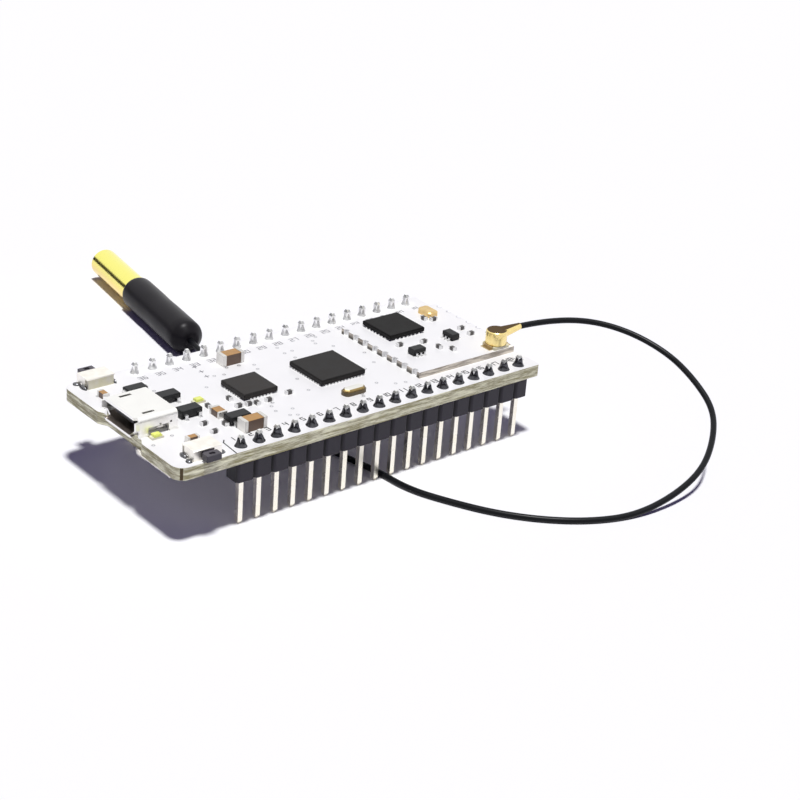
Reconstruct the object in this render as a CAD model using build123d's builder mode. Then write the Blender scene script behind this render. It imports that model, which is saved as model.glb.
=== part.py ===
from build123d import *
from math import cos, radians, sin, tan
import os

# Long-range radio development board on two pin headers, with its pigtail antenna.
#
# X runs along the board from the USB end to the radio end, Y from the front pin row to the back
# one, Z up. The origin is on the surface the pins stand on, under the middle of the board.
# All sizes are in millimetres.

os.makedirs("parts", exist_ok=True)

# Board
board_length = 55.2
board_middle_x = 0.2        # the board's middle from the upright axis of the frame
board_width = 25.5
board_thickness = 1.6
board_corner_r = 1.5        # at the USB end
radio_end_corner_r = 0.4
port_recess_depth = 0.7
port_recess_mouth = 9.7
port_recess_floor = 7.3
port_recess_r = 0.4
round_sides = 8             # small round forms are drawn with eight sides
least_sides = 6             # and the pin holes, solder cones and lead with six

# Pin headers
pin_pitch = 2.54
row_spacing = 22.86
pin_end_margin = 2.61       # the last pins' distance from the board's radio end
pin_start_margin = 9.2      # room kept free of pins at the USB end, for the buttons
pin_count = 1 + int((board_length - pin_end_margin - pin_start_margin) / pin_pitch)
pin_side = 0.64
pin_free = 6.0              # pin below the plastic
pin_rise = 1.4              # pin above the board
pin_taper = 0.14
pin_taper_height = 0.35
header_height = 2.54
header_width = 2.54
header_groove = 0.35        # depth of the break-off grooves
header_end_trim = 0.6       # the strip is cut off this much short of its last groove
pin_hole_r = 0.52

# Solder cones round the pins
cone_base_r = 0.9
cone_taper = 17.0           # slope of a cone's side from upright, degrees
cone_height = 1.1

# Micro USB socket
usb_shift = -0.35
usb_width = 7.4
usb_height = 2.5
usb_floor_width = 5.3
usb_waist = 1.1             # height at which the lower corners start to slope in
usb_length = 5.2
usb_sheet = 0.3
usb_top_r = 0.6
usb_floor_r = 0.5
usb_back_from_edge = 5.6    # the shell's back behind the board's USB end
usb_lip_length = 0.6
usb_lip_flare = 0.15
usb_slot_length = 1.6
usb_slot_width = 0.4
usb_slot_spacing = 5.0
usb_slot_from_back = 2.5
usb_corner_slit = 0.9        # slits that part the lips at the corners
usb_window_from_back = 0.8
usb_window_length = 1.7
usb_window_height = 0.45
usb_window_sill = 0.35      # bottom of the side windows above the board
usb_window_arm = 0.25       # the two narrow slits that rise from a window's ends
usb_window_rise = 0.55
usb_foot_length = 1.2
usb_foot_reach = 0.25
tongue_width = 3.9
tongue_thick = 0.7
tongue_reach = 3.6
contact_pitch = 0.65
contact_count = 5
contact_width = 0.3
contact_thick = 0.12
tail_length = 0.9

# Side push buttons
front_button_from_edge = 4.4  # the front button's middle behind the board's USB end
back_button_from_edge = 3.8
button_width = 3.5
button_depth = 2.4
front_button_inner_face = 9.55  # distance of the body's inner face from the board's long axis
back_button_inner_face = 10.0
button_height = 1.35
button_sheet = 0.15
button_side_wall = 0.5
button_floor = 0.15
button_back_wall = 0.6
button_travel = 0.25
plunger_head_width = 2.0
plunger_head_height = 0.85
plunger_head_length = 1.1
plunger_head_r = 0.12
plunger_dent = (0.7, 0.5, 0.25)   # hollow in the head's top: width, length, depth
plunger_neck_width = 1.5
plunger_neck_height = 0.7
plunger_flange_length = 1.0
plunger_gap = 0.05          # head back from the cover when fully pressed
window_clearance = 0.12
button_foot_length = 0.6
button_foot_reach = 0.5

# Chips in flat no-lead packages
bridge_side = 5.0
bridge_height = 0.85
bridge_from_edge, bridge_y = 18.8, 0.35   # from the board's USB end
bridge_pads_per_side = 7
bridge_pad_pitch = 0.5
processor_side = 6.8
processor_height = 0.85
processor_x, processor_y = 2.8, -0.35
processor_pads_per_side = 12
processor_pad_pitch = 0.5
pad_width = 0.26
pad_length = 0.5
pad_height = 0.2
pad_show = 0.05             # how far a pad stands out of the package side
package_edge = 0.08         # bevel round a package's top

# Five-lead power chips
power_length = 2.9
power_width = 1.6
power_height = 1.1
power_places = ((8.5, 2.75), (8.6, -1.75), (12.6, -6.1))      # x from the board's USB end
lead_pitch = 0.95
lead_width = 0.4
lead_thick = 0.15
lead_reach = 0.6
lead_exit = 0.5             # height at which the leads leave the body

# Diode behind the USB socket
diode_length = 2.7
diode_width = 1.4
diode_height = 0.75
diode_from_edge, diode_y = 6.6, 6.8
diode_lead_width = 0.6
diode_lead_reach = 0.45

# Crystals
clock_length = 3.4
clock_width = 1.5
clock_base_height = 0.45
clock_lid_height = 0.35
clock_lid_inset = 0.12
clock_x, clock_y = 1.85, -7.0

# Ceramic capacitors and resistors: length, width, height and the ends' length. Each stands at an
# x from the board's USB end, a y and a turn
cap_large = (3.2, 1.6, 1.5, 0.5)
cap_medium = (2.0, 1.25, 0.85, 0.35)
cap_small = (1.6, 0.8, 0.8, 0.3)
cap_tiny = (1.0, 0.5, 0.5, 0.2)
large_cap_places = ((13.1, -8.4, 0), (21.2, 7.9, 0))
medium_cap_places = ((11.6, -3.6, 90),)
small_cap_places = ((5.2, -7.7, 0), (2.5, 7.3, 90))
tiny_part_places = ((14.9, -3.1, 0), (16.2, -3.3, 0), (17.2, -3.6, 90), (18.9, -3.6, 0),
                    (15.0, -0.9, 90), (10.8, -6.2, 90), (8.7, -4.9, 0), (11.7, -1.3, 90),
                    (8.6, -7.2, 0))
middle_part_place = (-2.3, -3.2, 0)     # x from midway between the two large chips

# Status lights
led_size = (1.6, 0.8, 0.25)
led_lens = (1.0, 0.8, 0.35)
led_gap = 0.3               # between the USB shell and the light beside it
led_places = ((11.5, 0.5, 0), (2.25, usb_shift - usb_width / 2 - led_size[1] / 2 - led_gap, 0))

# Radio board
radio_side = 16.0
radio_thick = 0.8
radio_from_edge = 0.35      # the radio board's end from the main board's
radio_y = -0.05
edge_pad_count = 8
edge_pad_pitch = 2.0
edge_pad_r = 0.5
edge_plating = 0.14
radio_chip_side = 5.8
radio_chip_height = 0.8
radio_chip_x, radio_chip_y = 17.1, 4.2
radio_chip_pads_per_side = 7
radio_pad_pitch = 0.65
radio_crystal_size = (1.7, 2.6, 0.75)
radio_crystal_corner = 0.3
radio_crystal_edge = 0.15
radio_crystal_x, radio_crystal_y = 24.3, 5.75
switch_size = (2.0, 1.25, 0.9)
switch_places = ((14.9, -3.3, 0), (21.9, -1.8, 90))
switch_lead_pitch = 0.65
radio_part_places = ((17.8, -1.2, 0), (18.45, -3.5, 90), (19.6, -4.9, 90), (14.4, -0.45, 0),
                     (24.9, -0.4, 0), (24.9, -2.35, 0), (22.65, 4.6, 90), (23.6, 3.75, 0))

# Coaxial receptacle and plug
socket_inset_x = 2.0        # the receptacle's middle from the radio board's end and front
socket_inset_y = 1.4
socket_base_side = 2.6
socket_base_height = 0.35
socket_ring_r = 1.0
socket_ring_bore_r = 0.85
socket_ring_height = 0.9
socket_sheet = 0.1
socket_strap_width = 1.7
socket_foot_reach = 0.45
socket_pin_r = 0.25
socket_pin_height = 0.65
socket_tail_width = 0.6
plug_r = 1.4
plug_height = 1.8
plug_lift = 0.02            # the plug's skirt above the receptacle's strap
plug_fit = 0.02             # clearance between the plug's skirt and the receptacle's ring
plug_edge = 0.12
plug_turn = -5.0            # heading of the lead as it leaves the plug, degrees
plug_neck_end = 3.7         # from the plug's centre to the end of its neck
plug_neck_root = (1.9, 1.1)
plug_neck_end_r = 0.46
plug_neck_bevel = 0.3
insert_clearance = 0.1
insert_lift = 0.1

# Lead: its route from the antenna to the plug, laid on the surface under the board
cable_r = 0.4
lead_axis_z = 13.0         # height of the lead's axis in the plug
lead_route = [
    (1.92, 25.35, 2.4), (1.35, 20.2, 0.45), (1.0, 14.2, 0.41), (0.95, 8.5, 0.41),
    (1.4, 2.0, 0.41), (2.2, -4.6, 0.41), (3.5, -10.7, 0.41), (3.85, -16.3, 0.41),
    (6.1, -21.4, 0.41), (9.05, -26.6, 0.41), (12.9, -30.9, 0.41), (17.65, -34.25, 0.41),
    (23.15, -36.1, 0.42), (29.45, -36.4, 1.4), (35.25, -35.55, 3.0), (40.1, -32.7, 4.8),
    (43.85, -28.9, 6.55), (44.9, -24.0, 8.6), (45.4, -18.7, 10.0), (43.05, -13.6, 11.7),
    (39.1, -9.6, 12.7),
]
lead_last_run = 4.25        # straight run that ends in the plug's neck
lead_bend_share = 0.45      # share of the shorter run that an arc takes up

# Antenna at the other end of the lead
antenna_r = 2.45
antenna_end_x, antenna_end_y = 2.65, 30.0
antenna_turn = 81.2         # heading of the antenna away from its lead, degrees
sleeve_length = 18.5
sleeve_end_bevel = 1.2
tube_r = 2.1
tube_wall = 0.35
tube_exposed = 12.3
tube_covered = 8.0

# Battery socket under the board
battery_width = 5.0
battery_depth = 3.6
battery_height = 1.7
battery_wall = 0.4
battery_notch_width = 1.8
battery_notch_depth = 1.1
battery_from_edge = 7.2     # the socket's middle behind the board's USB end
battery_y = -2.2
battery_pin_pitch = 1.25
battery_pin_side = 0.3
battery_pin_recess = 0.8    # tips behind the socket's mouth
battery_tail = 0.8
battery_tab_length = 1.3
battery_tab_reach = 0.5
battery_tab_height = 0.9

# Levels
header_bottom = pin_free
board_bottom = header_bottom + header_height
board_top = board_bottom + board_thickness
pin_length = board_top + pin_rise
radio_top = board_top + radio_thick
edge_x = board_middle_x - board_length / 2
far_edge_x = board_middle_x + board_length / 2
row_shift = far_edge_x - pin_end_margin - (pin_count - 1) / 2 * pin_pitch
usb_back = edge_x + usb_back_from_edge
button_x = edge_x + front_button_from_edge
battery_x = edge_x + battery_from_edge
bridge_x = edge_x + bridge_from_edge
diode_x = edge_x + diode_from_edge
radio_x = far_edge_x - radio_from_edge - radio_side / 2
socket_x = radio_x + radio_side / 2 - socket_inset_x
socket_y = radio_y - radio_side / 2 + socket_inset_y
front_row_y = -row_spacing / 2
back_row_y = row_spacing / 2


def pin_row(y, z):
    """One place per pin of a row at height z."""
    first = row_shift - (pin_count - 1) / 2 * pin_pitch
    return [(first + i * pin_pitch, y, z) for i in range(pin_count)]


def from_usb_end(places):
    """Places whose x counts from the board's USB end, as places in the frame."""
    return [(edge_x + x, *rest) for x, *rest in places]


def turned(places, z):
    """Places given as x, y and a turn about Z, at height z."""
    return [Location((x, y, z), (0, 0, turn)) for x, y, turn in places]


def gull_lead(width, thick, exit_z, reach):
    """A bent lead that leaves a body at y = 0 and stands on z = 0 with its foot."""
    shoulder = reach * 0.35
    with BuildPart() as lead:
        with BuildSketch(Plane.YZ):
            with BuildLine():
                Polyline(
                    (0, exit_z), (shoulder, exit_z), (shoulder, 0), (reach, 0), (reach, thick),
                    (shoulder + thick, thick), (shoulder + thick, exit_z + thick),
                    (0, exit_z + thick), close=True,
                )
            make_face()
        extrude(amount=width / 2, both=True)
    return lead.part


# The main board: rounded corners, a recess for the socket at the USB end, drilled for the pins
with BuildPart() as main_board:
    with BuildSketch(Plane.XY.offset(board_bottom)) as outline:
        with Locations((board_middle_x, 0)):
            Rectangle(board_length, board_width)
        fillet(outline.vertices().group_by(Axis.X)[0], board_corner_r)
        fillet(outline.vertices().group_by(Axis.X)[-1], radio_end_corner_r)
        with BuildLine():
            Polyline(
                (edge_x - port_recess_depth, usb_shift + port_recess_mouth / 2),
                (edge_x, usb_shift + port_recess_mouth / 2),
                (edge_x + port_recess_depth, usb_shift + port_recess_floor / 2),
                (edge_x + port_recess_depth, usb_shift - port_recess_floor / 2),
                (edge_x, usb_shift - port_recess_mouth / 2),
                (edge_x - port_recess_depth, usb_shift - port_recess_mouth / 2),
                close=True,
            )
        make_face(mode=Mode.SUBTRACT)
        recess_corners = [
            v for v in outline.vertices()
            if abs(v.Y - usb_shift) < port_recess_mouth / 2 + 0.1 and v.X < edge_x + port_recess_depth + 0.1
        ]
        fillet(recess_corners, port_recess_r)
        with Locations((row_shift, 0)):
            with GridLocations(pin_pitch, row_spacing, pin_count, 2):
                RegularPolygon(pin_hole_r, least_sides, mode=Mode.SUBTRACT)
    extrude(amount=board_thickness)
main_board.part.label = "main_board"
export_step(main_board.part, "parts/main_board.step")

# Header plastics: one strip per row, grooved on both faces where the blocks break apart
with BuildPart() as front_header_body:
    with BuildSketch(Plane.XY.offset(header_bottom)):
        with Locations((row_shift, front_row_y)):
            Rectangle(pin_count * pin_pitch, header_width)
            with GridLocations(pin_pitch, header_width, pin_count + 1, 2):
                Rectangle(header_groove * 2**0.5, header_groove * 2**0.5, rotation=45,
                          mode=Mode.SUBTRACT)
            with GridLocations(pin_pitch, 1, pin_count, 1):
                Rectangle(pin_side, pin_side, mode=Mode.SUBTRACT)
        with Locations((row_shift + pin_count * pin_pitch / 2, front_row_y)):
            Rectangle(2 * header_end_trim, 2 * header_width, mode=Mode.SUBTRACT)
    extrude(amount=header_height)
front_header_body.part.label = "front_header_body"
export_step(front_header_body.part, "parts/front_header_body.step")

with BuildPart() as back_header_body:
    mirror(front_header_body.part, about=Plane.XZ)
back_header_body.part.label = "back_header_body"
export_step(back_header_body.part, "parts/back_header_body.step")

# One square pin, tapered at both ends
with BuildPart() as pin:
    with BuildSketch(Plane.XY):
        Rectangle(pin_side, pin_side)
    extrude(amount=pin_length)
    for end in (pin.faces().sort_by(Axis.Z)[0], pin.faces().sort_by(Axis.Z)[-1]):
        chamfer(end.edges(), pin_taper, pin_taper_height, reference=end)

with BuildPart() as front_header_pins:
    with Locations(*pin_row(front_row_y, 0)):
        add(pin.part)
front_header_pins.part.label = "front_header_pins"
export_step(front_header_pins.part, "parts/front_header_pins.step")

with BuildPart() as back_header_pins:
    with Locations(*pin_row(back_row_y, 0)):
        add(pin.part)
back_header_pins.part.label = "back_header_pins"
export_step(back_header_pins.part, "parts/back_header_pins.step")

# Solder: a cone on the board's top round each pin
with BuildPart() as solder_cone:
    with BuildSketch(Plane.XY.offset(board_top)):
        RegularPolygon(cone_base_r, least_sides)
    extrude(amount=cone_height, taper=cone_taper)
    with Locations((0, 0, board_top)):
        Box(pin_side, pin_side, cone_height, align=(Align.CENTER, Align.CENTER, Align.MIN),
            mode=Mode.SUBTRACT)

with BuildPart() as front_solder_joints:
    with Locations(*pin_row(front_row_y, 0)):
        add(solder_cone.part)
front_solder_joints.part.label = "front_solder_joints"
export_step(front_solder_joints.part, "parts/front_solder_joints.step")

with BuildPart() as back_solder_joints:
    mirror(front_solder_joints.part, about=Plane.XZ)
back_solder_joints.part.label = "back_solder_joints"
export_step(back_solder_joints.part, "parts/back_solder_joints.step")


def socket_section(grow):
    """Cross-section of the USB socket, wide at the top, grown outwards by the given amount."""
    half, foot = usb_width / 2 + grow, usb_floor_width / 2 + grow
    with BuildSketch() as section:
        with BuildLine():
            Polyline(
                (-foot, -grow), (foot, -grow), (half, usb_waist), (half, usb_height + grow),
                (-half, usb_height + grow), (-half, usb_waist), close=True,
            )
        make_face()
        fillet(section.vertices().group_by(Axis.Y)[-1], usb_top_r + grow)
        fillet(section.vertices().group_by(Axis.Y)[0], usb_floor_r + grow)
    return section.sketch


# USB socket shell: one folded sheet, its mouth flared in four lips
usb_front = usb_back - usb_length
mouth_plane = Plane(origin=(usb_front, usb_shift, board_top), x_dir=(0, 1, 0), z_dir=(1, 0, 0))
lip_plane = mouth_plane.offset(-usb_lip_length)
usb_slot_x = usb_back - usb_slot_from_back - usb_slot_length / 2
usb_window_x = usb_back - usb_window_from_back - usb_window_length / 2
usb_foot_places = [(usb_front + usb_foot_length / 2, 0, 0), (usb_back - usb_foot_length / 2, 0, 0)]
with BuildPart() as usb_shell:
    with BuildSketch(mouth_plane):
        add(socket_section(0))
        add(socket_section(-usb_sheet), mode=Mode.SUBTRACT)
    extrude(amount=usb_length)
    with BuildSketch(lip_plane):
        add(socket_section(usb_lip_flare))
    with BuildSketch(mouth_plane):
        add(socket_section(0))
    loft()
    with BuildSketch(lip_plane):
        add(socket_section(usb_lip_flare - usb_sheet))
    with BuildSketch(mouth_plane):
        add(socket_section(-usb_sheet))
    loft(mode=Mode.SUBTRACT)
    # slits part the lips at the corners
    with Locations((usb_front - usb_lip_length / 2, usb_shift, board_top + usb_height)):
        with GridLocations(1, usb_width, 1, 2):
            Box(usb_lip_length, usb_corner_slit, usb_corner_slit, mode=Mode.SUBTRACT)
    with Locations((usb_front - usb_lip_length / 2, usb_shift, board_top + usb_waist / 2)):
        with GridLocations(1, (usb_floor_width + usb_width) / 2, 1, 2):
            Box(usb_lip_length, usb_waist, usb_corner_slit, mode=Mode.SUBTRACT)
    # back wall above the contact tails
    with Locations((usb_back - usb_sheet / 2, usb_shift, board_top + (usb_waist + usb_height) / 2)):
        Box(usb_sheet, usb_width - usb_sheet, usb_height - usb_waist - usb_sheet)
    # two spring slots in the top
    with Locations((usb_slot_x, usb_shift, board_top + usb_height)):
        with GridLocations(1, usb_slot_spacing, 1, 2):
            Box(usb_slot_length, usb_slot_width, 3 * usb_sheet, mode=Mode.SUBTRACT)
    # a low window in each side wall, with a slit rising from either end
    with Locations((usb_window_x, usb_shift, board_top + usb_window_sill)):
        with GridLocations(1, usb_width - usb_sheet, 1, 2):
            Box(usb_window_length, 4 * usb_sheet, usb_window_height,
                align=(Align.CENTER, Align.CENTER, Align.MIN), mode=Mode.SUBTRACT)
        with GridLocations(usb_window_length - usb_window_arm, usb_width - usb_sheet, 2, 2):
            Box(usb_window_arm, 4 * usb_sheet, usb_window_height + usb_window_rise,
                align=(Align.CENTER, Align.CENTER, Align.MIN), mode=Mode.SUBTRACT)
    # the feet that stand on the board beside the shell
    with Locations((0, usb_shift, board_top + usb_sheet / 2)):
        with Locations(*usb_foot_places):
            with GridLocations(1, usb_width + usb_foot_reach - usb_sheet, 1, 2):
                Box(usb_foot_length, usb_foot_reach + usb_sheet, usb_sheet)
    with Locations((0, usb_shift, board_top + usb_waist / 2)):
        with Locations(*usb_foot_places):
            with GridLocations(1, usb_width - usb_sheet, 1, 2):
                Box(usb_foot_length, usb_sheet, usb_waist)
usb_shell.part.label = "usb_shell"
export_step(usb_shell.part, "parts/usb_shell.step")

# USB socket insulator: a block that fills the back of the shell and carries the tongue
usb_block_depth = usb_length - tongue_reach - usb_sheet
tongue_z = board_top + usb_height - usb_sheet - tongue_thick
with BuildPart() as usb_tongue:
    with BuildSketch(mouth_plane.offset(usb_length - usb_sheet - usb_block_depth)):
        add(socket_section(-usb_sheet))
    extrude(amount=usb_block_depth)
    with Locations((usb_front + usb_length - usb_sheet - usb_block_depth, usb_shift, tongue_z)):
        Box(tongue_reach - usb_sheet, tongue_width, tongue_thick,
            align=(Align.MAX, Align.CENTER, Align.CENTER))
usb_tongue.part.label = "usb_tongue"
export_step(usb_tongue.part, "parts/usb_tongue.step")

# USB contacts: blades under the tongue, and the tails that meet the board behind the shell
usb_tail = gull_lead(contact_width, contact_thick, usb_sheet, usb_sheet + tail_length)
with BuildPart() as usb_contacts:
    with Locations((usb_front + 2 * usb_sheet, usb_shift, tongue_z - tongue_thick / 2)):
        with GridLocations(1, contact_pitch, 1, contact_count):
            Box(tongue_reach - 2 * usb_sheet, contact_width, contact_thick,
                align=(Align.MIN, Align.CENTER, Align.MAX))
    with Locations(Location((usb_back - usb_sheet, usb_shift, board_top), (0, 0, -90))):
        with GridLocations(contact_pitch, 1, contact_count, 1):
            add(usb_tail)
usb_contacts.part.label = "usb_contacts"
export_step(usb_contacts.part, "parts/usb_contacts.step")

# Front push button: drawn with its mouth towards -Y, the back one is its mirror image, moved
button_inner_y = -front_button_inner_face
back_button_move = Location((back_button_from_edge - front_button_from_edge,
                             back_button_inner_face - front_button_inner_face, 0))
button_outer_y = button_inner_y - button_depth
cavity_width = button_width - 2 * button_side_wall
cavity_back_y = button_inner_y - button_back_wall
cover_under = board_top + button_height - button_sheet
cavity_floor = board_top + button_floor
plunger_z = (cavity_floor + cover_under) / 2
with BuildPart() as front_button_base:
    with Locations((button_x, button_inner_y, board_top)):
        Box(button_width, button_depth, cover_under - board_top, align=(Align.CENTER, Align.MAX, Align.MIN))
    with Locations((button_x, cavity_back_y, cavity_floor)):
        Box(cavity_width, button_depth, button_height, align=(Align.CENTER, Align.MAX, Align.MIN),
            mode=Mode.SUBTRACT)
front_button_base.part.label = "front_button_base"
export_step(front_button_base.part, "parts/front_button_base.step")

# Button cover: a sheet cap with a window in its front, clipped down both sides, on four feet
window_width = plunger_neck_width + 2 * window_clearance
window_height = plunger_neck_height + 2 * window_clearance
side_flange = button_depth * 0.75
with BuildPart() as front_button_cover:
    with Locations((button_x, button_inner_y, cover_under)):
        Box(button_width + 2 * button_sheet, button_depth + button_sheet, button_sheet,
            align=(Align.CENTER, Align.MAX, Align.MIN))
    with Locations((button_x, button_outer_y, board_top)):
        Box(button_width + 2 * button_sheet, button_sheet, cover_under - board_top,
            align=(Align.CENTER, Align.MAX, Align.MIN))
    with Locations((button_x, button_outer_y, board_top)):
        with GridLocations(button_width + button_sheet, 1, 2, 1):
            Box(button_sheet, side_flange, cover_under - board_top,
                align=(Align.CENTER, Align.MIN, Align.MIN))
    with Locations((button_x, button_outer_y + button_foot_length / 2, board_top)):
        with GridLocations(button_width + 2 * button_sheet + button_foot_reach, 1, 2, 1):
            Box(button_foot_reach, button_foot_length, button_sheet,
                align=(Align.CENTER, Align.CENTER, Align.MIN))
    with Locations((button_x, button_outer_y, plunger_z)):
        Box(window_width, 4 * button_sheet, window_height, mode=Mode.SUBTRACT)
    cover_rim = front_button_cover.edges().filter_by(Axis.X).group_by(Axis.Z)[-1].sort_by(Axis.Y)[0]
    fillet(cover_rim, button_sheet * 0.9)
front_button_cover.part.label = "front_button_cover"
export_step(front_button_cover.part, "parts/front_button_cover.step")

# Button plunger: a flange held behind the window, a neck through it and the head outside
cover_front_y = button_outer_y - button_sheet
head_back_y = cover_front_y - button_travel - plunger_gap
with BuildPart() as front_button_plunger:
    with Locations((button_x, button_outer_y, plunger_z)):
        Box(cavity_width - 2 * window_clearance, plunger_flange_length, window_height,
            align=(Align.CENTER, Align.MIN, Align.CENTER))
    with Locations((button_x, button_outer_y, plunger_z)):
        Box(plunger_neck_width, button_outer_y - head_back_y, plunger_neck_height,
            align=(Align.CENTER, Align.MAX, Align.CENTER))
    with Locations((button_x, head_back_y, plunger_z)):
        Box(plunger_head_width, plunger_head_length, plunger_head_height,
            align=(Align.CENTER, Align.MAX, Align.CENTER))
    head_edges = front_button_plunger.faces().sort_by(Axis.Y)[0].edges()
    fillet(head_edges, plunger_head_r)
    with Locations((button_x, head_back_y - plunger_head_length / 2, plunger_z + plunger_head_height / 2)):
        Box(plunger_dent[0], plunger_dent[1], 2 * plunger_dent[2], mode=Mode.SUBTRACT)
front_button_plunger.part.label = "front_button_plunger"
export_step(front_button_plunger.part, "parts/front_button_plunger.step")

with BuildPart() as back_button_base:
    add(mirror(front_button_base.part, about=Plane.XZ, mode=Mode.PRIVATE).moved(back_button_move))
back_button_base.part.label = "back_button_base"
export_step(back_button_base.part, "parts/back_button_base.step")

with BuildPart() as back_button_cover:
    add(mirror(front_button_cover.part, about=Plane.XZ, mode=Mode.PRIVATE).moved(back_button_move))
back_button_cover.part.label = "back_button_cover"
export_step(back_button_cover.part, "parts/back_button_cover.step")

with BuildPart() as back_button_plunger:
    add(mirror(front_button_plunger.part, about=Plane.XZ, mode=Mode.PRIVATE).moved(back_button_move))
back_button_plunger.part.label = "back_button_plunger"
export_step(back_button_plunger.part, "parts/back_button_plunger.step")


def package(length, width, height):
    """A moulded chip body that stands on z = 0, its top edges bevelled."""
    with BuildPart() as body:
        Box(length, width, height, align=(Align.CENTER, Align.CENTER, Align.MIN))
        chamfer(body.faces().sort_by(Axis.Z)[-1].edges(), package_edge)
    return body.part


def pad_ring(side, count, pitch):
    """Pads under the four sides of a square chip, on z = 0."""
    run = side + 2 * pad_show - pad_length
    with BuildPart() as ring:
        with Locations((0, 0, pad_height / 2)):
            with GridLocations(run, pitch, 2, count):
                Box(pad_length, pad_width, pad_height)
            with GridLocations(pitch, run, count, 2):
                Box(pad_width, pad_length, pad_height)
    return ring.part


# USB bridge chip
with BuildPart() as usb_bridge_chip:
    with Locations((bridge_x, bridge_y, board_top + pad_height)):
        add(package(bridge_side, bridge_side, bridge_height - pad_height))
usb_bridge_chip.part.label = "usb_bridge_chip"
export_step(usb_bridge_chip.part, "parts/usb_bridge_chip.step")

with BuildPart() as usb_bridge_pads:
    with Locations((bridge_x, bridge_y, board_top)):
        add(pad_ring(bridge_side, bridge_pads_per_side, bridge_pad_pitch))
usb_bridge_pads.part.label = "usb_bridge_pads"
export_step(usb_bridge_pads.part, "parts/usb_bridge_pads.step")

# Processor chip
with BuildPart() as processor_chip:
    with Locations((processor_x, processor_y, board_top + pad_height)):
        add(package(processor_side, processor_side, processor_height - pad_height))
processor_chip.part.label = "processor_chip"
export_step(processor_chip.part, "parts/processor_chip.step")

with BuildPart() as processor_pads:
    with Locations((processor_x, processor_y, board_top)):
        add(pad_ring(processor_side, processor_pads_per_side, processor_pad_pitch))
processor_pads.part.label = "processor_pads"
export_step(processor_pads.part, "parts/processor_pads.step")

# Power chips: three five-lead packages by the USB socket
with BuildPart() as power_chips:
    with Locations(*[(x, y, board_top + 2 * package_edge) for x, y in from_usb_end(power_places)]):
        add(package(power_length, power_width, power_height - 2 * package_edge))
power_chips.part.label = "power_chips"
export_step(power_chips.part, "parts/power_chips.step")

power_lead = gull_lead(lead_width, lead_thick, lead_exit, lead_reach)
with BuildPart() as power_chip_leads:
    for x, y in from_usb_end(power_places):
        with Locations((x, y + power_width / 2, board_top)):
            with GridLocations(lead_pitch, 1, 3, 1):
                add(power_lead)
        with Locations(Location((x, y - power_width / 2, board_top), (0, 0, 180))):
            with GridLocations(2 * lead_pitch, 1, 2, 1):
                add(power_lead)
power_chip_leads.part.label = "power_chip_leads"
export_step(power_chip_leads.part, "parts/power_chip_leads.step")

# Diode behind the USB socket
with BuildPart() as diode_body:
    with Locations((diode_x, diode_y, board_top + package_edge)):
        add(package(diode_length, diode_width, diode_height - package_edge))
diode_body.part.label = "diode_body"
export_step(diode_body.part, "parts/diode_body.step")

diode_lead = gull_lead(diode_lead_width, lead_thick, diode_height / 2, diode_lead_reach)
with BuildPart() as diode_leads:
    with Locations(
        Location((diode_x + diode_length / 2, diode_y, board_top), (0, 0, -90)),
        Location((diode_x - diode_length / 2, diode_y, board_top), (0, 0, 90)),
    ):
        add(diode_lead)
diode_leads.part.label = "diode_leads"
export_step(diode_leads.part, "parts/diode_leads.step")

# Clock crystal: a ceramic tray with a metal lid
with BuildPart() as clock_crystal_base:
    with BuildSketch(Plane.XY.offset(board_top)):
        with Locations((clock_x, clock_y)):
            RectangleRounded(clock_length, clock_width, clock_width * 0.45)
    extrude(amount=clock_base_height)
clock_crystal_base.part.label = "clock_crystal_base"
export_step(clock_crystal_base.part, "parts/clock_crystal_base.step")

with BuildPart() as clock_crystal_lid:
    with BuildSketch(Plane.XY.offset(board_top + clock_base_height)) as lid_outline:
        with Locations((clock_x, clock_y)):
            Rectangle(clock_length - 2 * clock_lid_inset, clock_width - 2 * clock_lid_inset)
        chamfer(lid_outline.vertices(), clock_width * 0.3)
    extrude(amount=clock_lid_height)
    chamfer(clock_crystal_lid.faces().sort_by(Axis.Z)[-1].edges(), clock_lid_height * 0.5)
clock_crystal_lid.part.label = "clock_crystal_lid"
export_step(clock_crystal_lid.part, "parts/clock_crystal_lid.step")


def ceramic_bodies(size, places, z):
    """The bodies of chip capacitors or resistors of one size, between their ends."""
    length, width, height, end = size
    with BuildPart() as bodies:
        with Locations(*turned(places, z)):
            Box(length - 2 * end, width * 0.94, height * 0.96,
                align=(Align.CENTER, Align.CENTER, Align.MIN))
    return bodies.part


def ceramic_ends(size, places, z):
    """The metal ends of chip capacitors or resistors of one size."""
    length, width, height, end = size
    with BuildPart() as ends:
        with Locations(*turned(places, z)):
            with GridLocations(length - end, 1, 2, 1):
                Box(end, width, height, align=(Align.CENTER, Align.CENTER, Align.MIN))
    return ends.part


# Ceramic capacitors in three sizes
with BuildPart() as capacitor_bodies:
    add(ceramic_bodies(cap_large, from_usb_end(large_cap_places), board_top))
    add(ceramic_bodies(cap_medium, from_usb_end(medium_cap_places), board_top))
    add(ceramic_bodies(cap_small, from_usb_end(small_cap_places), board_top))
capacitor_bodies.part.label = "capacitor_bodies"
export_step(capacitor_bodies.part, "parts/capacitor_bodies.step")

with BuildPart() as capacitor_ends:
    add(ceramic_ends(cap_large, from_usb_end(large_cap_places), board_top))
    add(ceramic_ends(cap_medium, from_usb_end(medium_cap_places), board_top))
    add(ceramic_ends(cap_small, from_usb_end(small_cap_places), board_top))
capacitor_ends.part.label = "capacitor_ends"
export_step(capacitor_ends.part, "parts/capacitor_ends.step")

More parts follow.
